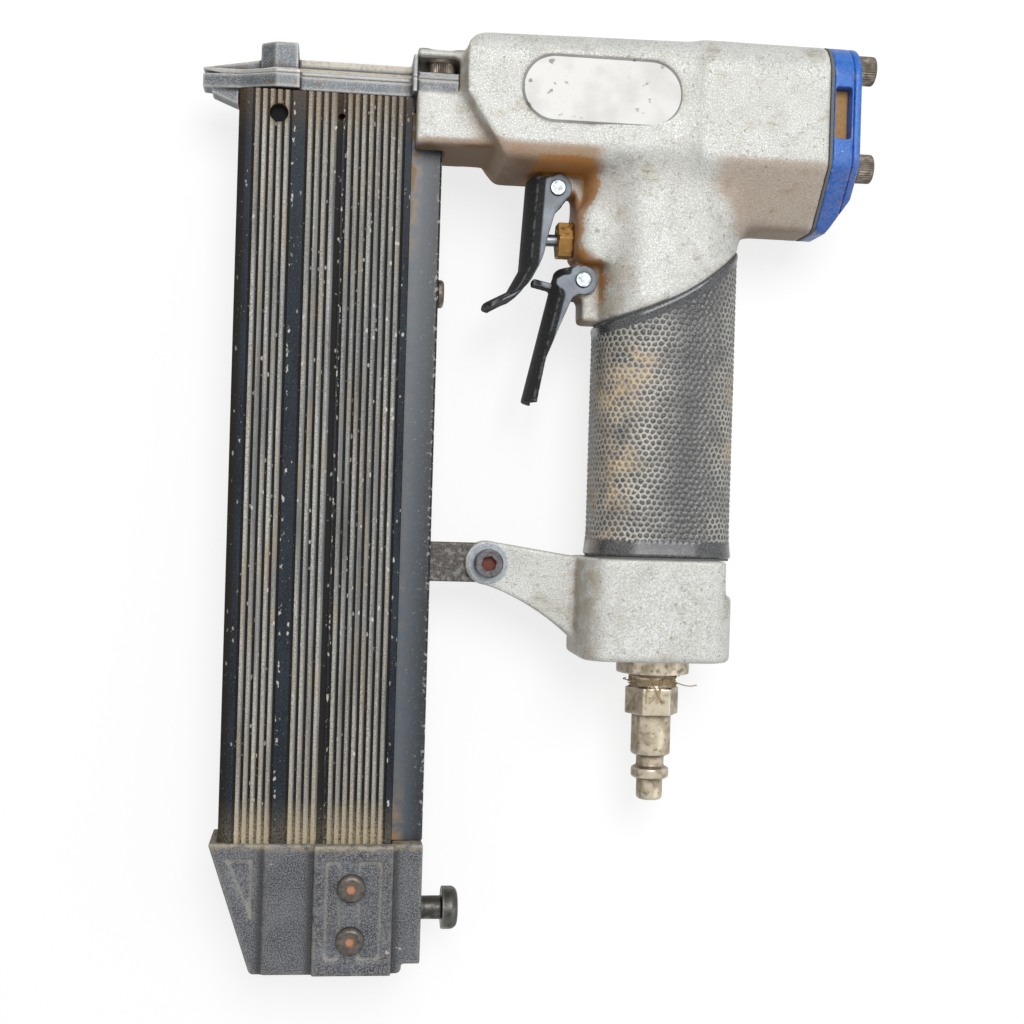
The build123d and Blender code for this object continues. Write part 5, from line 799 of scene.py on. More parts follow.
def rolled_front(piece, back_mm, reach_mm, black_mm):
    """Roll the front corners of a channel back, as its sheet was bent over a round bar, and mark what lies
    more than the black front's width behind them."""
    points = points_of(piece.data)
    x, y = points[:, 0], points[:, 1]
    out = np.abs(points[:, 2] - middle_z / 1000)
    level, fade_mm = 0.0015, 0.8
    levels = np.arange(y.min(), y.max() + level, level)
    front = np.full(len(levels), x.max())
    np.minimum.at(front, ((y - levels[0]) / level).astype(int), x)
    depth = x - np.interp(y, levels + level / 2, front)
    behind = piece.data.attributes.new("behind", "FLOAT", "POINT")
    behind.data.foreach_set("value", np.clip((depth * 1000 - black_mm) / fade_mm, 0, 1).astype(np.float32))
    share = np.clip(1 - depth * 1000 / reach_mm, 0, 1) * (out / out.max()) ** 3
    points[:, 0] += share * back_mm / 1000
    piece.data.vertices.foreach_set("co", points.ravel())
    piece.data.update()


for node, black_mm in (("trigger", 3.3), ("safety_lever", 2.2)):
    pressing = worn_copy(node, voxel_mm=0.33, rubs=4, spread=5)
    rolled_front(pressing, back_mm=2.6, reach_mm=7.0, black_mm=black_mm)
    stand_for(pressing, node, pressed_steel)

# Pins and small turned pieces: free cutting steel, with a fine lathe grain that breaks up reflections.
# The grain is drawn 0.25 mm wide, coarser than the real one, so that it shows.
turned_steel, tree, place = new_finish("turned_bright_steel")
masks = mottle(tree, place, ("patch", 1.2, 5.0, 0.45, 0.7))
grain = add(tree, "TexNoise", {"Vector": place, "Scale": 1000 / 0.25, "Detail": 1.0}).outputs["Fac"]
colour = layered(tree, "8d9298", (masks["patch"], "777a7e"))
dull = add(tree, "MapRange", {"Value": masks["patch"], "To Min": 0.34, "To Max": 0.46})
bump = add(tree, "Bump", {"Height": grain, "Strength": 0.2, "Distance": 0.00005})
dress(tree, {"Base Color": colour, "Roughness": dull, "Normal": bump, "Metallic": 0.95})
coat(turned_steel, "trigger_pin", "lever_pin", "rail_dowel", "valve_stem", "bracket_washer", "bracket_nut")

# Trigger valve: a hexagonal brass body screwed into the neck, with a steel stem that the trigger pushes in.
# The brass is brown with age, and sawdust sticks to its oily faces.
old_brass, tree, place = new_finish("dusty_turned_brass")
masks = mottle(tree, place, ("dust", 1.6, 6.0, 0.36, 0.60), ("dark", 3.0, 4.0, 0.52, 0.68))
colour = layered(tree, "a9813f", (masks["dark"], 0.6, "6b4c26"), (masks["dust"], 0.8, "c2935a"))
metal = add(tree, "MapRange", {"Value": masks["dust"], "To Min": 0.9, "To Max": 0.1})
dull = add(tree, "MapRange", {"Value": masks["dust"], "To Min": 0.35, "To Max": 0.85})
bump = add(tree, "Bump", {"Height": masks["dust"], "Strength": 0.3, "Distance": 0.0001})
dress(tree, {"Base Color": colour, "Roughness": dull, "Metallic": metal, "Normal": bump})
valve_body = worn_copy("valve_housing", voxel_mm=0.24, rubs=3)
stand_for(valve_body, "valve_housing", old_brass)

# Grip sleeve: a tube of black rubber moulded with small pebbles, pulled over the handle core up to a smooth
# rim. Its mesh is drawn round the handle's outline, and a node tree sinks the grooves between the pebbles.
handle_x, half_x, half_z = 138.8, 21.1, 17.5
flat_x, flat_z, corner_r = 7.1, 3.5, 14
quarter = corner_r * math.pi / 2
perimeter = 4 * (flat_x + flat_z + quarter)
columns = 380
ring = []
for step in range(columns):
    along = perimeter * step / columns
    for length, (start_x, start_z), heading, turning in (
        (flat_x, (0, -half_z), 0, False),
        (quarter, (flat_x, -flat_z), -90, True),
        (2 * flat_z, (half_x, -flat_z), 90, False),
        (quarter, (flat_x, flat_z), 0, True),
        (2 * flat_x, (flat_x, half_z), 180, False),
        (quarter, (-flat_x, flat_z), 90, True),
        (2 * flat_z, (-half_x, flat_z), 270, False),
        (quarter, (-flat_x, -flat_z), 180, True),
        (flat_x, (-flat_x, -half_z), 0, False),
    ):
        if along <= length:
            break
        along -= length
    angle = math.radians(heading) + (along / corner_r if turning else 0)
    ahead_x, ahead_z = math.cos(angle), math.sin(angle)
    if turning:
        ring.append((start_x + corner_r * ahead_x, start_z + corner_r * ahead_z, ahead_x, ahead_z))
    else:
        ring.append((start_x + along * ahead_x, start_z + along * ahead_z, ahead_z, -ahead_x))
(x1, y1), (x2, y2), (x3, y3) = (-half_x, -67.2), (0, -59.5), (half_x, -43.6)
twice = 2 * (x1 * (y2 - y3) + x2 * (y3 - y1) + x3 * (y1 - y2))
squares = [x * x + y * y for x, y in ((x1, y1), (x2, y2), (x3, y3))]
rim_x = (squares[0] * (y2 - y3) + squares[1] * (y3 - y1) + squares[2] * (y1 - y2)) / twice
rim_y = (squares[0] * (x3 - x2) + squares[1] * (x1 - x3) + squares[2] * (x2 - x1)) / twice
rim_r = math.hypot(x1 - rim_x, y1 - rim_y)


def rim_at(x):
    """Height of the sleeve's rim, an arc through three points of its front, middle and back."""
    return rim_y - math.copysign(math.sqrt(rim_r**2 - (x - rim_x) ** 2), rim_y - y1)


foot, lip, wall = -136.4, 0.9, 2.35
foot_flare, flare_reach = 0.7, 9
rim_bead, bead_below, bead_reach = 0.25, 1.6, 1.0
smooth_rim, smooth_foot, smooth_reach = 3.2, 4.2, 1.0
near_edge = (0.0, 0.12, 0.32, 0.6, lip)
middle_rows = 248
held_x, held_lean, held_half, held_clean = 5.5, 0.04, 8.5, 0.85
rim_clean, clean_reach = 0.4, 12
dust_spots = (
    (-13, -83, 7), (-17, -91, 6), (-15, -107, 6), (-18, -118, 6),
    (-18.5, -132, 4), (-10, -80, 3.5), (20, -86, 4), (20.5, -104, 4),
)
luck = np.random.default_rng(5)
pebbles_round, pebble_rows, first_row, row_step = 68, 60, -42.0, 1.6
centres = []
for row in range(pebble_rows):
    for column in range(-1, pebbles_round + 1):
        shift_round, shift_y = luck.uniform(-0.4, 0.4, 2)
        round_at = (column + 0.5 * (row % 2)) * perimeter / pebbles_round
        centres.append((round_at + shift_round, first_row - row_step * row + shift_y, 0))
pebbles = kdtree.KDTree(len(centres))
for index, centre in enumerate(centres):
    pebbles.insert(centre, index)
pebbles.balance()
points, nets, rims, dusts, pales = [], [], [], [], []
for row in range(len(near_edge) * 2 + middle_rows):
    for step, (x, z, out_x, out_z) in enumerate(ring):
        top = rim_at(x)
        if row < len(near_edge):
            y = top - near_edge[row]
        elif row < len(near_edge) + middle_rows:
            part = (row - len(near_edge) + 1) / (middle_rows + 1)
            y = (top - lip) * (1 - part) + (foot + lip) * part
        else:
            y = foot + near_edge[len(near_edge) * 2 + middle_rows - 1 - row]
        below, above = top - y, y - foot
        inside = min(below, above, lip) / lip
        shift = -lip * (1 - math.sqrt(max(0.0, 1 - (1 - inside) ** 2)))
        bead = rim_bead * math.exp(-(((below - bead_below) / bead_reach) ** 2))
        shift += foot_flare * max(0.0, 1 - above / flare_reach) ** 2 + bead
        points.append(spot(handle_x + x + out_x * shift, y, z + out_z * shift))
        (first, _, near), (second, _, far) = pebbles.find_n((perimeter * step / columns, y, 0), 2)
        nets.append((far * far - near * near) / (2 * (second - first).length))
        clear_of_edges = min((below - smooth_rim) / smooth_reach, (above - smooth_foot) / smooth_reach)
        rims.append(min(1.0, max(0.0, clear_of_edges)))
        patch = 0.0
        for dust_x, dust_y, reach in dust_spots:
            patch += math.exp(-((x - dust_x) ** 2 + (y - dust_y) ** 2) / reach**2)
        dusts.append(min(1.0, patch))
        held = math.exp(-(((x - held_x - held_lean * (y + 90)) / held_half) ** 2))
        pales.append(1 - held_clean * held - rim_clean * max(0.0, 1 - below / clean_reach))
rows = len(points) // columns
for at_rim in (True, False):
    for x, z, out_x, out_z in ring:
        points.append(spot(handle_x + x - wall * out_x, rim_at(x) if at_rim else foot, z - wall * out_z))
        for store in (nets, rims, dusts, pales):
            store.append(0.0)
order = [rows, *range(rows), rows + 1, rows]
faces = []
for first, second in zip(order, order[1:]):
    for step in range(columns):
        ahead = (step + 1) % columns
        corners = (first, step), (second, step), (second, ahead), (first, ahead)
        faces.append([row * columns + column for row, column in corners])
sleeve_mesh = bpy.data.meshes.new("grip_sleeve_moulded")
sleeve_mesh.from_pydata(points, [], faces)
shape = bmesh.new()
shape.from_mesh(sleeve_mesh)
bmesh.ops.recalc_face_normals(shape, faces=shape.faces)
shape.to_mesh(sleeve_mesh)
shape.free()
for name, store in (("net", nets), ("rim", rims), ("dust", dusts), ("pale", pales)):
    attribute = sleeve_mesh.attributes.new(name, "FLOAT", "POINT")
    attribute.data.foreach_set("value", np.array(store, np.float32))
sleeve_mesh.polygons.foreach_set("use_smooth", np.ones(len(sleeve_mesh.polygons), bool))
sleeve = bpy.data.objects.new("grip_sleeve_moulded", sleeve_mesh)
scene.collection.objects.link(sleeve)

pebble_tree, wanted = new_tree(
    "moulded_pebbles",
    {"Sleeve": "Geometry", "Pebble radius": "Float", "Groove depth": "Float", "Finish": "Material"},
    "Sleeve",
)
net, rim = [
    add(pebble_tree, "GeometryNodeInputNamedAttribute", {"Name": name}, data_type="FLOAT").outputs[0]
    for name in ("net", "rim")
]
slope = {"Value": net, "From Max": wanted["Pebble radius"], "To Min": 1.0, "To Max": 0.0}
fall = add(pebble_tree, "MapRange", slope)
groove = add(pebble_tree, "Math", {0: fall, 1: 2.2}, operation="POWER")
groove = add(pebble_tree, "Math", {0: groove, 1: rim}, operation="MULTIPLY")
sink = add(pebble_tree, "Math", {0: groove, 1: wanted["Groove depth"]}, operation="MULTIPLY")
sink = add(pebble_tree, "Math", {0: sink, 1: -1.0}, operation="MULTIPLY")
outward = add(pebble_tree, "GeometryNodeInputNormal")
way = add(pebble_tree, "VectorMath", {0: outward, "Scale": sink}, operation="SCALE")
pressed = add(pebble_tree, "GeometryNodeSetPosition", {"Geometry": wanted["Sleeve"], "Offset": way})
kept = {"Geometry": pressed, "Name": "groove", "Value": groove}
grooved = add(pebble_tree, "GeometryNodeStoreNamedAttribute", kept, data_type="FLOAT")
end_tree(pebble_tree, grooved, wanted["Finish"])

# Moulded nitrile rubber: blue black pebbles that hands have polished, shining down the middle of the flank.
# Wood dust lies pale in the grooves along both sides, and cakes the finger side in grainy tan patches.
rubber, tree, place = new_finish("moulded_nitrile_rubber")
groove, pale, dust = [
    add(tree, "Attribute", attribute_name=name).outputs["Fac"] for name in ("groove", "pale", "dust")
]
masks = mottle(
    tree, place,
    ("cloud", 14.0, 4.0, 0.38, 0.64),
    ("grit", 0.4, 3.0, 0.42, 0.58),
    ("crumb", 0.7, 3.0, 0.42, 0.58),
    ("cake", 5.0, 6.0, 0.36, 0.58),
    ("greyed", 8.0, 5.0, 0.30, 0.62),
)
line = add(tree, "MapRange", {"Value": groove, "From Min": 0.28, "From Max": 0.62})
greyed = add(tree, "MapRange", {"Value": masks["greyed"], "To Min": 0.45, "To Max": 1.0})
caked = add(tree, "Math", {0: dust, 1: masks["cake"]}, operation="MULTIPLY")
grainy = add(tree, "MapRange", {"Value": masks["crumb"], "To Min": 0.25, "To Max": 1.0})
caked = add(tree, "Math", {0: caked, 1: grainy}, operation="MULTIPLY")
sheltered = add(tree, "MapRange", {"Value": groove, "From Max": 0.4, "To Min": 0.6, "To Max": 1.0})
caked = add(tree, "Math", {0: caked, 1: sheltered}, operation="MULTIPLY")
colour = layered(
    tree, "20252c",
    (masks["cloud"], 0.5, "353b44"),
    (masks["grit"], 0.40, "85837f"),
    # Painted shade: the grooves are darkened where no dust lies in them.
    (line, 0.80, "16171a"),
    (line, greyed, pale, 0.92, "d8d3c8"),
    (caked, 0.92, "e0c8a4"),
)
dull = add(tree, "MapRange", {"Value": caked, "To Min": 0.22, "To Max": 0.95})
bump = add(tree, "Bump", {"Height": masks["grit"], "Strength": 0.2, "Distance": 0.00008})
dress(tree, {"Base Color": colour, "Roughness": dull, "Normal": bump, "Specular IOR Level": 0.7})
by_nodes(sleeve, pebble_tree, {"Pebble radius": 0.8, "Groove depth": 0.00045, "Finish": rubber})
stand_for(sleeve, "grip_sleeve")

# Tail cap: the handle's cast aluminium foot, with an arm that reaches forward and carries the magazine rail.
# It is sand cast like the body, and screwed up into the handle core from below.


def tail_fillets(x, y, z):
    """The arm runs out of the foot with a soft root, and the waist on the far side is soft too."""
    return np.where(x < 119, 0.6, np.where(x > 150, 1.0, 0.0))


foot_casting = worn_copy(
    "tail_cap",
    voxel_mm=0.5,
    rubs=7,
    plugs=(
        ((126.2, -152.2, -9.2), (151.4, -137.05, 9.2), 0),
        ((handle_x, -152, 0), (handle_x, -153.9, 0), 8.75),
    ),
    fillet=tail_fillets,
    rounds=60,
    soil=((117, -146, 5, 0.22), (118, -154, 5, 0.2)),
)
stand_for(foot_casting, "tail_cap", cast_skin)
put_screws(
    "tail_screws", [(x, -159.0, 0) for x in foot_screw_xs], (0, -1, 0), screw_steel, "screw_steel", seed=7,
    head_r=2.8, head_h=3.0, key=2.5, edge=0.5, shank_r=1.5, shank_l=32.6,
)
put_screws(
    "bracket_screw", [(87.0, -139.6, 5.6)], (0, 0, 1), red_rust, "screw_steel", seed=9,
    head_r=4.25, head_h=4.0, key=4.0, edge=0.5, shank_r=2.5, shank_l=15.2,
)

# Rail bracket: a black oxidised steel tongue in the arm's fork, bolted through with a plain washer and a nut.
# Its oxide is clouded brown, with a fine grey grain and scraped patches.
tongue_steel, tree, place = new_finish("worn_oxidised_steel")
masks = mottle(
    tree, place,
    ("cloud", 4.0, 5.0, 0.40, 0.62),
    ("grain", 0.38, 2.0, 0.46, 0.62),
    ("scrape", 1.6, 6.0, 0.54, 0.62),
)
colour = layered(
    tree, "2f2d2c",
    (masks["cloud"], 0.6, "4c4640"),
    (masks["grain"], 0.55, "8d8984"),
    (masks["scrape"], 0.5, "a59f95"),
)
dull = add(tree, "MapRange", {"Value": masks["cloud"], "To Min": 0.42, "To Max": 0.6})
bump = add(tree, "Bump", {"Height": masks["grain"], "Strength": 0.25, "Distance": 0.00006})
dress(tree, {"Base Color": colour, "Roughness": dull, "Normal": bump})
tongue = worn_copy("rail_bracket", voxel_mm=0.3, rubs=3)
stand_for(tongue, "rail_bracket", tongue_steel)

# Air inlet: a steel bushing in the foot, and a quick connect plug screwed into it over strands of hemp.
# Both are nickel plated, stained brown and rusty, with painted shade dark brown on the sides turned away
# from the flank, and the edges worn bright.
nickel, tree, place = new_finish("stained_nickel_plate")
hollow, edged = [
    add(tree, "Attribute", attribute_name=name).outputs["Fac"] for name in ("hollow", "edged")
]
masks = mottle(
    tree, place,
    ("stain", 4.0, 6.0, 0.42, 0.62),
    ("rust", 1.6, 6.0, 0.54, 0.66),
    ("scrape", 0.8, 3.0, 0.50, 0.70),
)
side = facing(tree)
# Painted shade: the sides turned away from the flank are dark brown.
side_shade = add(tree, "Math", {0: side["Z"]}, operation="ABSOLUTE")
side_shade = add(tree, "MapRange", {"Value": side_shade, "From Min": 0.75, "From Max": 0.2})
colour = layered(
    tree, "c4b9a3",
    (side_shade, 0.75, "4f3f2a"),
    (masks["stain"], 0.6, "7d6e58"),
    (masks["rust"], 0.65, "5b412a"),
    (hollow, 0.75, "45351f"),
    (masks["scrape"], 0.3, "c4bcae"),
    (edged, 0.6, "dad5ca"),
)
dull = add(tree, "MapRange", {"Value": masks["stain"], "To Min": 0.30, "To Max": 0.55})
metal = add(tree, "MapRange", {"Value": masks["rust"], "To Min": 0.9, "To Max": 0.4})
bump = add(tree, "Bump", {"Height": masks["scrape"], "Strength": 0.25, "Distance": 0.00006})
dress(tree, {"Base Color": colour, "Roughness": dull, "Metallic": metal, "Normal": bump})
for node in ("inlet_bushing", "air_plug"):
    fitting = worn_copy(node, voxel_mm=0.28, rubs=3, spread=6)
    stand_for(fitting, node, nickel)

# Hemp packing: combed plant fibre wound into the plug's thread, with loose ends round the neck.
# Single fibres are too fine for the picture, so each strand here stands for a twisted few, 0.3 mm thick.
strand_tree, wanted = new_tree(
    "hemp_strands", {"Lines": "Geometry", "Thickness": "Float", "Finish": "Material"}, "Strands",
)
runs = add(strand_tree, "GeometryNodeMeshToCurve", {"Mesh": wanted["Lines"]})
half = add(strand_tree, "Math", {0: wanted["Thickness"], 1: 0.5}, operation="MULTIPLY")
section = add(strand_tree, "GeometryNodeCurvePrimitiveCircle", {"Resolution": 8, "Radius": half})
sweep = {"Curve": runs, "Profile Curve": section, "Fill Caps": True}
swept = add(strand_tree, "GeometryNodeCurveToMesh", sweep)
end_tree(strand_tree, swept, wanted["Finish"])
hemp, tree, place = new_finish("combed_hemp_fibre")
noise = add(tree, "TexNoise", {"Vector": place, "Scale": 1000 / 1.5, "Detail": 3.0}).outputs["Fac"]
colour = layered(tree, "7d6240", (noise, "dcc49b"))
dress(tree, {"Base Color": colour, "Roughness": 0.8})
lines, ties = [], []


def lay_strand(points):
    """Add one strand, a line through points in mm."""
    for step, point in enumerate(points):
        lines.append(spot(*point))
        if step:
            ties.append((len(lines) - 2, len(lines) - 1))


def share_along(count):
    """Shares of a strand's length, from 0 to 1."""
    return [step / (count - 1) for step in range(count)]


wound_r, wound_low, wound_high = 7.05, -175.7, -171.75
loose_from, loose_reach = 0.6, 2.6
luck = np.random.default_rng(11)
for strand in range(17):
    start, span = luck.uniform(0, 2 * math.pi), luck.uniform(1.2, 5.0)
    height, drift, ripple = luck.uniform(-175.2, -172.0), luck.uniform(-0.9, 0.9), luck.uniform(0.1, 0.5)
    loose = luck.uniform(0.0, 1.0) if strand % 3 == 0 else 0.0
    points = []
    for part in share_along(30):
        angle = start + span * part
        radius = wound_r + ripple * math.sin(9 * part + strand) ** 2
        radius += loose * loose_reach * max(0.0, part - loose_from) / (1 - loose_from)
        y = min(wound_high, max(wound_low, height + drift * part))
        points.append((handle_x + radius * math.cos(angle), y, radius * math.sin(angle)))
    lay_strand(points)
lay_strand([
    (143.6 + 7.6 * part, -173.4 - 1.5 * math.sin(2.2 * part), 5.4 + 1.2 * math.sin(2.6 * part))
    for part in share_along(24)
])
for low_x, high_x, sway in (
    (136.2, 140.6, 0.9), (140.9, 137.4, -0.7), (138.6, 139.6, 0.5), (135.4, 137.0, -0.6),
):
    points = []
    for part in share_along(16):
        x = low_x + (high_x - low_x) * part + sway * math.sin(3 * part)
        points.append((x, -180.2 + 7.2 * part, 8.45 - 1.2 * part**3))
    lay_strand(points)
hemp_mesh = bpy.data.meshes.new("hemp_packing")
hemp_mesh.from_pydata(lines, ties, [])
packing = bpy.data.objects.new("hemp_packing", hemp_mesh)
scene.collection.objects.link(packing)
by_nodes(packing, strand_tree, {"Thickness": 0.00032, "Finish": hemp})
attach(packing, frame["nodes"]["air_plug"]["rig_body"])

# Magazine rail: an aluminium extrusion fixed under the nose, which the ribbed shell slides along.
# Its black anodising has white nicks along its right edge and tan dust packed in at both ends. Its blue sheen
# is painted: the flank grows lighter blue-grey towards its left side, partly rubbed wear.
rail_skin, tree, place = new_finish("black_anodised_rail")
masks = mottle(
    tree, place,
    ("cloud", 8.0, 5.0, 0.38, 0.64),
    ("grit", 0.6, 2.0, 0.55, 0.70),
    ("dust", 3.5, 6.0, 0.34, 0.58),
    ("nick", 1.5, 4.0, 0.57, 0.60),
    ("fleck", 1.0, 2.0, 0.70, 0.73),
)
masks |= between(
    tree, place,
    ("right_edge", 0, 68.6, 69.7),
    ("high_end", 1, -58, -20),
    ("low_end", 1, -196, -220),
    ("root", 0, 64.8, 61.2),
    ("in_view", 0, 57, 60.5),
    ("rubbed", 0, 68.4, 62.0),
)
flank = add(tree, "Math", {0: facing(tree)["Z"]}, operation="ABSOLUTE")
spared = add(tree, "MapRange", {"Value": flank, "To Min": 0.12, "To Max": 1.0})
packed = add(tree, "Math", {0: masks["high_end"], 1: masks["low_end"]}, operation="MAXIMUM")
packed = add(tree, "Math", {0: packed, 1: 0.12}, operation="MAXIMUM")
open_root = add(tree, "MapRange", {"Value": masks["in_view"], "To Min": 0.12, "To Max": 1.0})
open_root = add(tree, "Math", {0: masks["root"], 1: open_root}, operation="MULTIPLY")
packed = add(tree, "Math", {0: packed, 1: open_root}, operation="MULTIPLY")
packed = add(tree, "Math", {0: packed, 1: masks["dust"]}, operation="MULTIPLY")
colour = layered(
    tree, "14191f",
    (masks["cloud"], 0.5, "232a33"),
    # Painted sheen, partly rubbed wear: the flank is lighter blue-grey towards its left side.
    (masks["rubbed"], flank, 0.85, "5d6772"),
    (masks["grit"], 0.25, "73767b"),
    (packed, 0.9, "b08d5c"),
    (masks["fleck"], 0.6, "9a958c"),
    (masks["right_edge"], masks["nick"], spared, 0.85, "c9c5bd"),
)
shine = {"Value": flank, "From Min": 0.5, "From Max": 0.9, "To Min": 0.75, "To Max": 0.4}
dull = add(tree, "MapRange", shine)
dull = add(tree, "Math", {0: dull, 1: packed}, operation="MAXIMUM")
bump = add(tree, "Bump", {"Height": masks["grit"], "Strength": 0.2, "Distance": 0.00005})
dress(tree, {"Base Color": colour, "Roughness": dull, "Normal": bump})
coat(rail_skin, "magazine_rail")
put_screws(
    "rail_stop_screw", [(70.0, -60.0, 0)], (1, 0, 0), screw_steel, "screw_steel", seed=13,
    head_r=4.2, head_h=1.9, key=2.5, edge=1.0, shank_r=2.0, shank_l=6.0,
)

# Magazine shell: a ribbed aluminium extrusion, black anodised, that slides off the rail to take the pins.
# The ribs' tops are rubbed grey, tan with dust towards both ends, with a painted highlight along one side;
# grooves and smooth bands stay near black, the bands a little lighter towards the nose as painted sheen.
shell_skin, tree, place = new_finish("black_anodised_extrusion")
where = add(tree, "SeparateXYZ", {0: place}).outputs
flank = add(tree, "Math", {0: facing(tree)["Z"]}, operation="ABSOLUTE")
height = away_from(tree, where["Z"], middle_z / 1000)
masks = between(
    tree, place,
    ("upper", 1, -62, -8),
    ("lower", 1, -150, -214),
    ("heap", 1, -209, -219),
    ("soot", 1, -18, -5),
    ("busy", 0, 38, 44),
)
groove_level, top_level, smooth_level = 0.0085, 0.0088, 0.0076
masks["top"] = add(tree, "MapRange", {"Value": height, "From Min": groove_level, "From Max": top_level})
for name, stretch_mm, detail, low, high in (
    ("cloud", (9, 30, 9), 4.0, 0.38, 0.64),
    ("streak", (1.5, 40, 1.5), 4.0, 0.34, 0.62),
    ("grain", (0.38, 0.5, 0.38), 2.0, 0.42, 0.60),
    ("fall", (0.45, 0.55, 0.45), 3.0, 0.34, 0.54),
    ("smear", (2.4, 20, 2.4), 5.0, 0.54, 0.64),
    ("sheen", (1.8, 24, 1.8), 5.0, 0.36, 0.62),
    ("knocks", (9, 26, 9), 3.0, 0.40, 0.56),
    ("fleck", (0.7, 1.1, 0.7), 2.0, 0.70, 0.73),
    ("chip", (1.3, 2.2, 1.3), 5.0, 0.60, 0.63),
):
    stretched = add(tree, "Mapping", {"Vector": place, "Scale": [1000 / size_mm for size_mm in stretch_mm]})
    noise = add(tree, "TexNoise", {"Vector": stretched, "Scale": 1.0, "Detail": detail}).outputs["Fac"]
    masks[name] = add(tree, "MapRange", {"Value": noise, "From Min": low, "From Max": high})
field = ribs = lines = None
for first, pitch, count, share in ((15.15, 2.12, 5, 1.0), (30.3, 2.2, 4, 0.95), (41.65, 2.1, 8, 0.8)):
    step = add(tree, "Math", {0: where["X"], 1: spot(first, 0).x}, operation="SUBTRACT")
    step = add(tree, "Math", {0: step, 1: pitch / 1000}, operation="DIVIDE")
    entered = add(tree, "Math", {0: step, 1: 0.1}, operation="GREATER_THAN")
    left = add(tree, "Math", {0: step, 1: count - 0.1}, operation="LESS_THAN")
    inside = add(tree, "Math", {0: entered, 1: left}, operation="MULTIPLY")
    turn = add(tree, "Math", {0: step}, operation="FRACT")
    crests = []
    # Each crest: a grey top shaded off to the sides and a pale line to one side, partly wear, partly painted
    # highlight.
    for crest_at, wide, narrow in ((0.5, 0.49, 0.33), (0.42, 0.34, 0.08)):
        off = away_from(tree, turn, crest_at)
        ends = {"Value": off, "From Min": wide, "From Max": narrow, "To Max": share}
        crest = add(tree, "MapRange", ends, interpolation_type="SMOOTHSTEP")
        crests.append(add(tree, "Math", {0: crest, 1: inside}, operation="MULTIPLY"))
    field = add(tree, "Math", {0: inside, 1: field}, operation="ADD") if field else inside
    ribs = add(tree, "Math", {0: crests[0], 1: ribs}, operation="ADD") if ribs else crests[0]
    lines = add(tree, "Math", {0: crests[1], 1: lines}, operation="ADD") if lines else crests[1]
ribs = add(tree, "Math", {0: ribs, 1: masks["top"]}, operation="MULTIPLY")
uneven = add(tree, "MapRange", {"Value": masks["sheen"], "To Min": 0.45, "To Max": 1.0})
ribs = add(tree, "Math", {0: ribs, 1: uneven}, operation="MULTIPLY")
lines = add(tree, "Math", {0: lines, 1: masks["top"]}, operation="MULTIPLY")
grainy = add(tree, "MapRange", {"Value": masks["grain"], "To Min": 0.35, "To Max": 1.0})
streaky = add(tree, "MapRange", {"Value": masks["streak"], "To Min": 0.15, "To Max": 1.0})
lines = add(tree, "Math", {0: lines, 1: grainy}, operation="MULTIPLY")
tanned = add(tree, "Math", {0: masks["upper"], 1: masks["lower"]}, operation="MAXIMUM")
sunk = add(tree, "Math", {0: 1.0, 1: masks["top"]}, operation="SUBTRACT")
spilt = add(tree, "MapRange", {"Value": field, "To Min": 0.2, "To Max": 0.8})
sooty = add(tree, "Math", {0: masks["soot"], 1: masks["fall"]}, operation="MULTIPLY")
hole_y, clean_mm, black_mm = -11.1, 1.5, 0.3
for hole_x, hole_r in ((22.3, 2.7), (40.3, 1.0)):
    gap = add(tree, "VectorMath", {0: place, 1: spot(hole_x, hole_y)}, operation="SUBTRACT")
    gap = add(tree, "VectorMath", {0: gap, 1: (1, 1, 0)}, operation="MULTIPLY")
    gap = add(tree, "VectorMath", {0: gap}, operation="LENGTH").outputs["Value"]
    ends = {"Value": gap, "From Min": (hole_r + clean_mm) / 1000, "From Max": (hole_r + black_mm) / 1000}
    ring = add(tree, "MapRange", ends)
    ring = add(tree, "Math", {0: ring, 1: masks["top"]}, operation="MULTIPLY")
    sooty = add(tree, "Math", {0: sooty, 1: ring}, operation="MAXIMUM")
edges = None
bent = add(tree, "TexNoise", {"Vector": place, "Scale": 1000 / 0.9, "Detail": 2.0})
sway = add(tree, "MapRange", {"Value": bent.outputs["Fac"], "To Min": -0.0007, "To Max": 0.0007})
sway = add(tree, "Math", {0: where["X"], 1: sway}, operation="ADD")
chip_half = 0.0003
for edge_x in (11.1, 26.7, 41.2):
    gap = away_from(tree, sway, spot(edge_x, 0).x)
    edge = add(tree, "Math", {0: gap, 1: chip_half}, operation="LESS_THAN")
    edges = add(tree, "Math", {0: edge, 1: edges}, operation="ADD") if edges else edge
outer = add(tree, "Math", {0: height, 1: smooth_level}, operation="GREATER_THAN")
cells_mm = add(tree, "Mapping", {"Vector": place, "Scale": (1000 / 1.9, 1000 / 3.4, 1000 / 1.9)})
cells_mm = add(tree, "Mix", {0: 0.25, 4: cells_mm, 5: bent.outputs["Color"]}, data_type="VECTOR")
cells = add(tree, "TexVoronoi", {"Vector": cells_mm.outputs[1], "Scale": 1.33})
near = add(tree, "MapRange", {"Value": cells.outputs["Distance"], "From Min": 0.22, "From Max": 0.14})
pick = add(tree, "SeparateColor", {0: cells.outputs["Color"]})
rare = add(tree, "MapRange", {"Value": masks["busy"], "To Min": 0.70, "To Max": 0.48})
chosen = add(tree, "Math", {0: pick, 1: rare}, operation="GREATER_THAN")
spared = add(tree, "MapRange", {"Value": flank, "To Min": 0.25, "To Max": 1.0})
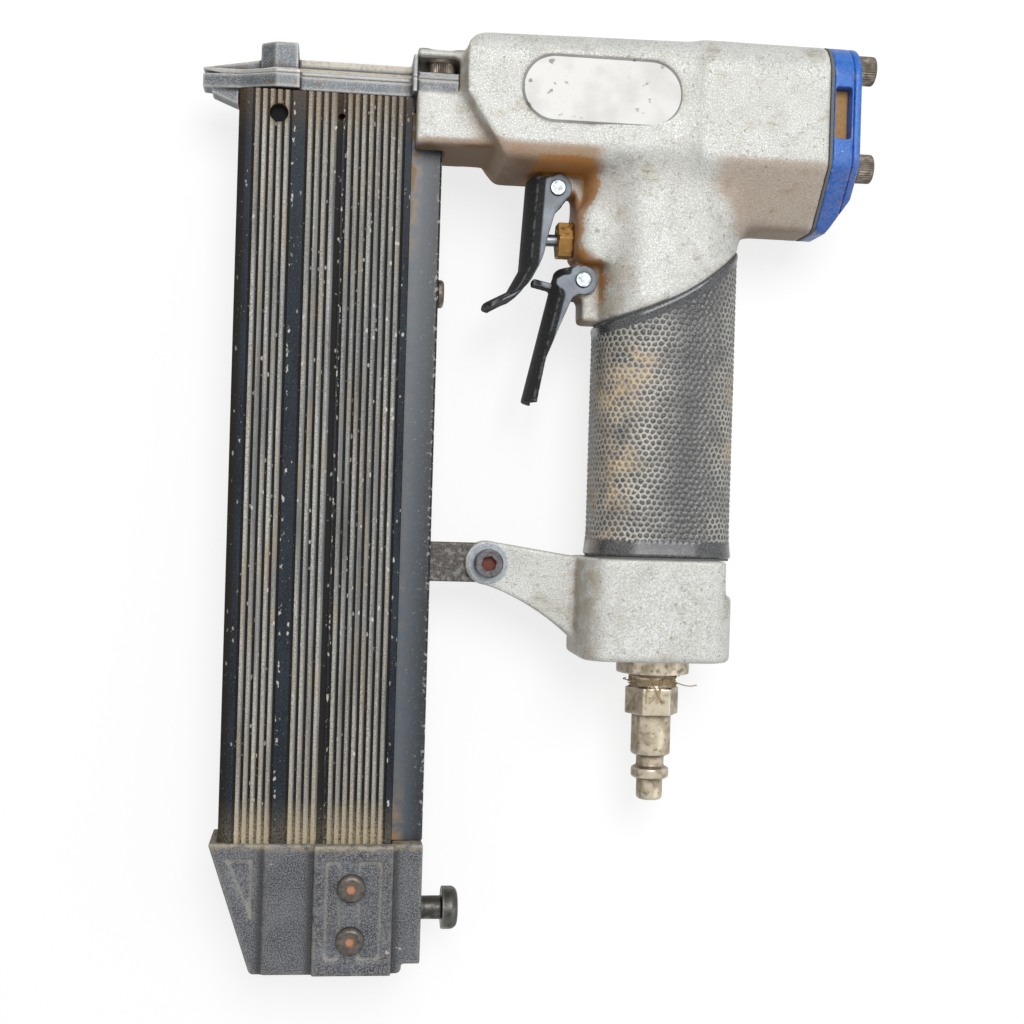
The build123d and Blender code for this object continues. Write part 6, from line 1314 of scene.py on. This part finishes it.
colour = layered(
    tree, "14191f",
    (masks["cloud"], 0.60, "323a44"),
    # Painted sheen: the smooth bands are lighter blue-grey towards the nose end.
    (masks["upper"], 0.45, "454c55"),
    (masks["grain"], 0.30, "4d545c"),
    (sunk, 0.85, "35322d"),
    # Rib crests: partly rubbed grey, partly painted rounding and highlight.
    (ribs, 0.85, "8c8e8f"),
    (lines, streaky, 0.86, "e4e0d4"),
    (masks["smear"], ribs, 0.45, "a38d6b"),
    (tanned, lines, 0.60, "cdbd9f"),
    (masks["heap"], masks["fall"], spilt, 0.85, "c9b795"),
    (sooty, 0.55, "6f583f"),
    (masks["fleck"], 0.55, "a6a39b"),
    (edges, outer, masks["chip"], 0.85, "cfccc4"),
    (near, chosen, masks["knocks"], spared, 0.90, "dbd7cd"),
)
shine = {"Value": flank, "From Min": 0.5, "From Max": 0.9, "To Min": 0.85, "To Max": 0.5}
dull = add(tree, "MapRange", shine)
dull = add(tree, "Math", {0: dull, 1: sunk}, operation="MAXIMUM")
bump = add(tree, "Bump", {"Height": masks["grain"], "Strength": 0.15, "Distance": 0.00005})
dress(tree, {"Base Color": colour, "Roughness": dull, "Normal": bump, "Specular IOR Level": 0.12})
coat(shell_skin, "magazine_shell")

# End cap: a black painted casting on the shell's tongue, with shallow recesses and two button head screws.
# Its grainy paint is greyed by handling, pale dust outlines the recesses and the edges, and painted
# shadow darkens the feet of its steps.
cap_skin, tree, place = new_finish("black_painted_casting")
hollow, edged, steps, rim = [
    add(tree, "Attribute", attribute_name=name).outputs["Fac"]
    for name in ("hollow", "edged", "dark", "under")
]
masks = mottle(
    tree, place,
    ("grain", 0.38, 2.0, 0.44, 0.60),
    ("cloud", 9.0, 4.0, 0.38, 0.64),
    ("dust", 2.0, 6.0, 0.34, 0.58),
    ("rub", 4.0, 6.0, 0.28, 0.62),
    ("chip", 3.0, 4.0, 0.72, 0.74),
)
flank = add(tree, "Math", {0: facing(tree)["Z"]}, operation="ABSOLUTE")
outlined = add(tree, "MapRange", {"Value": hollow, "From Min": 0.15, "From Max": 0.45})
plain = add(tree, "MapRange", {"Value": steps, "From Min": 0.5, "From Max": 0.1})
colour = layered(
    tree, "292b30",
    (masks["cloud"], 0.6, "5b5e64"),
    (masks["grain"], 0.54, "a6a8ac"),
    # Painted shadow at the feet of the steps.
    (steps, 0.75, "161719"),
    (outlined, plain, 0.60, "a9a59b"),
    (rim, masks["dust"], 0.70, "b3a283"),
    (edged, masks["rub"], 0.75, "aeaaa2"),
    (masks["chip"], 0.8, "c6bfae"),
)
shine = {"Value": flank, "From Min": 0.6, "From Max": 0.95, "To Min": 0.85, "To Max": 0.46}
dull = add(tree, "MapRange", shine)
bump = add(tree, "Bump", {"Height": masks["grain"], "Strength": 0.25, "Distance": 0.00007})
dress(tree, {"Base Color": colour, "Roughness": dull, "Normal": bump})


def cap_step_shadows(x, y, z):
    """The feet of the three steps across the cap, painted dark as shadow."""
    feet = ((23.6, 1.3), (37.8, 1.3), (62.2, 1.2))
    return sum(np.exp(-(((x - foot_x) / reach) ** 2)) for foot_x, reach in feet)


def cap_rim(x, y, z):
    """The top edge, where dust falls off the ribs."""
    clean_y, reach = -224.4, 2.0
    return np.clip((y - clean_y) / reach, 0, 1)


end_casting = worn_copy("end_cap", voxel_mm=0.4, rubs=3, spread=3, under=cap_rim, dark=cap_step_shadows)
stand_for(end_casting, "end_cap", cap_skin)
put_screws(
    "end_cap_screws", [(49.5, y, 12.9) for y in (-233.8, -248.9)], (0, 0, 1),
    oiled_button, "screw_steel", seed=17,
    head_r=4.1, head_h=2.3, key=2.5, edge=1.3, shank_r=2.0, shank_l=9.0,
)

# Latch knob: a turned steel button on a sprung pin, which is pulled to let the shell slide.
# Its black oxide is left in patches, and the rest is rubbed bright.
knob_steel, tree, place = new_finish("rubbed_oxidised_steel")
edged, hollow = [
    add(tree, "Attribute", attribute_name=name).outputs["Fac"] for name in ("edged", "hollow")
]
masks = mottle(tree, place, ("oxide", 3.2, 6.0, 0.42, 0.56), ("speck", 0.7, 3.0, 0.56, 0.68))
colour = layered(
    tree, "55534f",
    (masks["oxide"], 0.70, "242322"),
    (masks["speck"], 0.4, "5d5850"),
    (hollow, 0.6, "2a2622"),
    (edged, 0.6, "b5b2ac"),
)
dull = add(tree, "MapRange", {"Value": masks["oxide"], "To Min": 0.28, "To Max": 0.5})
bump = add(tree, "Bump", {"Height": masks["speck"], "Strength": 0.25, "Distance": 0.00006})
dress(tree, {"Base Color": colour, "Roughness": dull, "Normal": bump, "Metallic": 0.9})
knob = worn_copy("latch_knob", voxel_mm=0.24, rubs=3, spread=5)
stand_for(knob, "latch_knob", knob_steel)

# Driver blade: a strip of ground steel that the piston drives through the nose.
# It is drawn a fifth slimmer than the CAD blade, so that it clears the nose's channel, which is rounded here.
blade_mesh = frame["nodes"]["driver_blade"].data.copy()
blade_mesh.name = "driver_blade_ground"
points = points_of(blade_mesh)
axis, slimmer = np.array(spot(0, 0)), 0.8
points[:, 1:] = axis[1:] + (points[:, 1:] - axis[1:]) * slimmer
blade_mesh.vertices.foreach_set("co", points.ravel())
blade_mesh.update()
blade = bpy.data.objects.new("driver_blade_ground", blade_mesh)
scene.collection.objects.link(blade)

# Inner works: the drive, the valves, the springs and the pusher, which castings and magazine close in.
# Each finish is mottled by oil in patches of a few millimetres, and moulded pieces keep a fine sheen.
springs = ("head_valve_spring", "valve_spring", "latch_spring", "pusher_spring")
seals = ("bumper", "piston_o_ring", "head_valve_o_ring", "valve_o_rings")
for name, low, high, size_mm, metallic, rough, nodes in (
    ("ground_steel", "8e9092", "b4b6b8", 2.5, 0.95, 0.25, ("cylinder_liner",)),
    ("turned_aluminium", "a3a5a7", "c4c5c6", 3.0, 0.9, 0.34, ("piston",)),
    ("drawn_spring_wire", "4f5256", "8a8d91", 1.5, 0.9, 0.34, springs),
    ("blackened_pusher_steel", "0a0a0b", "161617", 4.0, 0.0, 0.85, ("pusher",)),
    ("moulded_seal_rubber", "141517", "2b2a29", 2.0, 0.0, 0.6, seals),
    ("moulded_acetal", "c9c5b8", "e0dccf", 4.0, 0.0, 0.45, ("head_valve",)),
    ("turned_valve_brass", "9c7638", "bb9250", 2.5, 0.9, 0.3, ("valve_plug",)),
    ("punched_steel_screen", "77797b", "9fa1a3", 1.2, 0.9, 0.4, ("inlet_filter",)),
):
    material, tree, place = new_finish(name)
    noise = add(tree, "TexNoise", {"Vector": place, "Scale": 1000 / size_mm, "Detail": 5.0}).outputs["Fac"]
    colour = layered(tree, low, (noise, high))
    dull = add(tree, "MapRange", {"Value": noise, "To Min": rough, "To Max": rough + 0.15})
    bump = add(tree, "Bump", {"Height": noise, "Strength": 0.2, "Distance": 0.00005})
    dress(tree, {"Base Color": colour, "Roughness": dull, "Normal": bump, "Metallic": metallic})
    coat(material, *nodes)
    if name == "ground_steel":
        blade_mesh.materials.clear()
        blade_mesh.materials.append(material)
        stand_for(blade, "driver_blade")
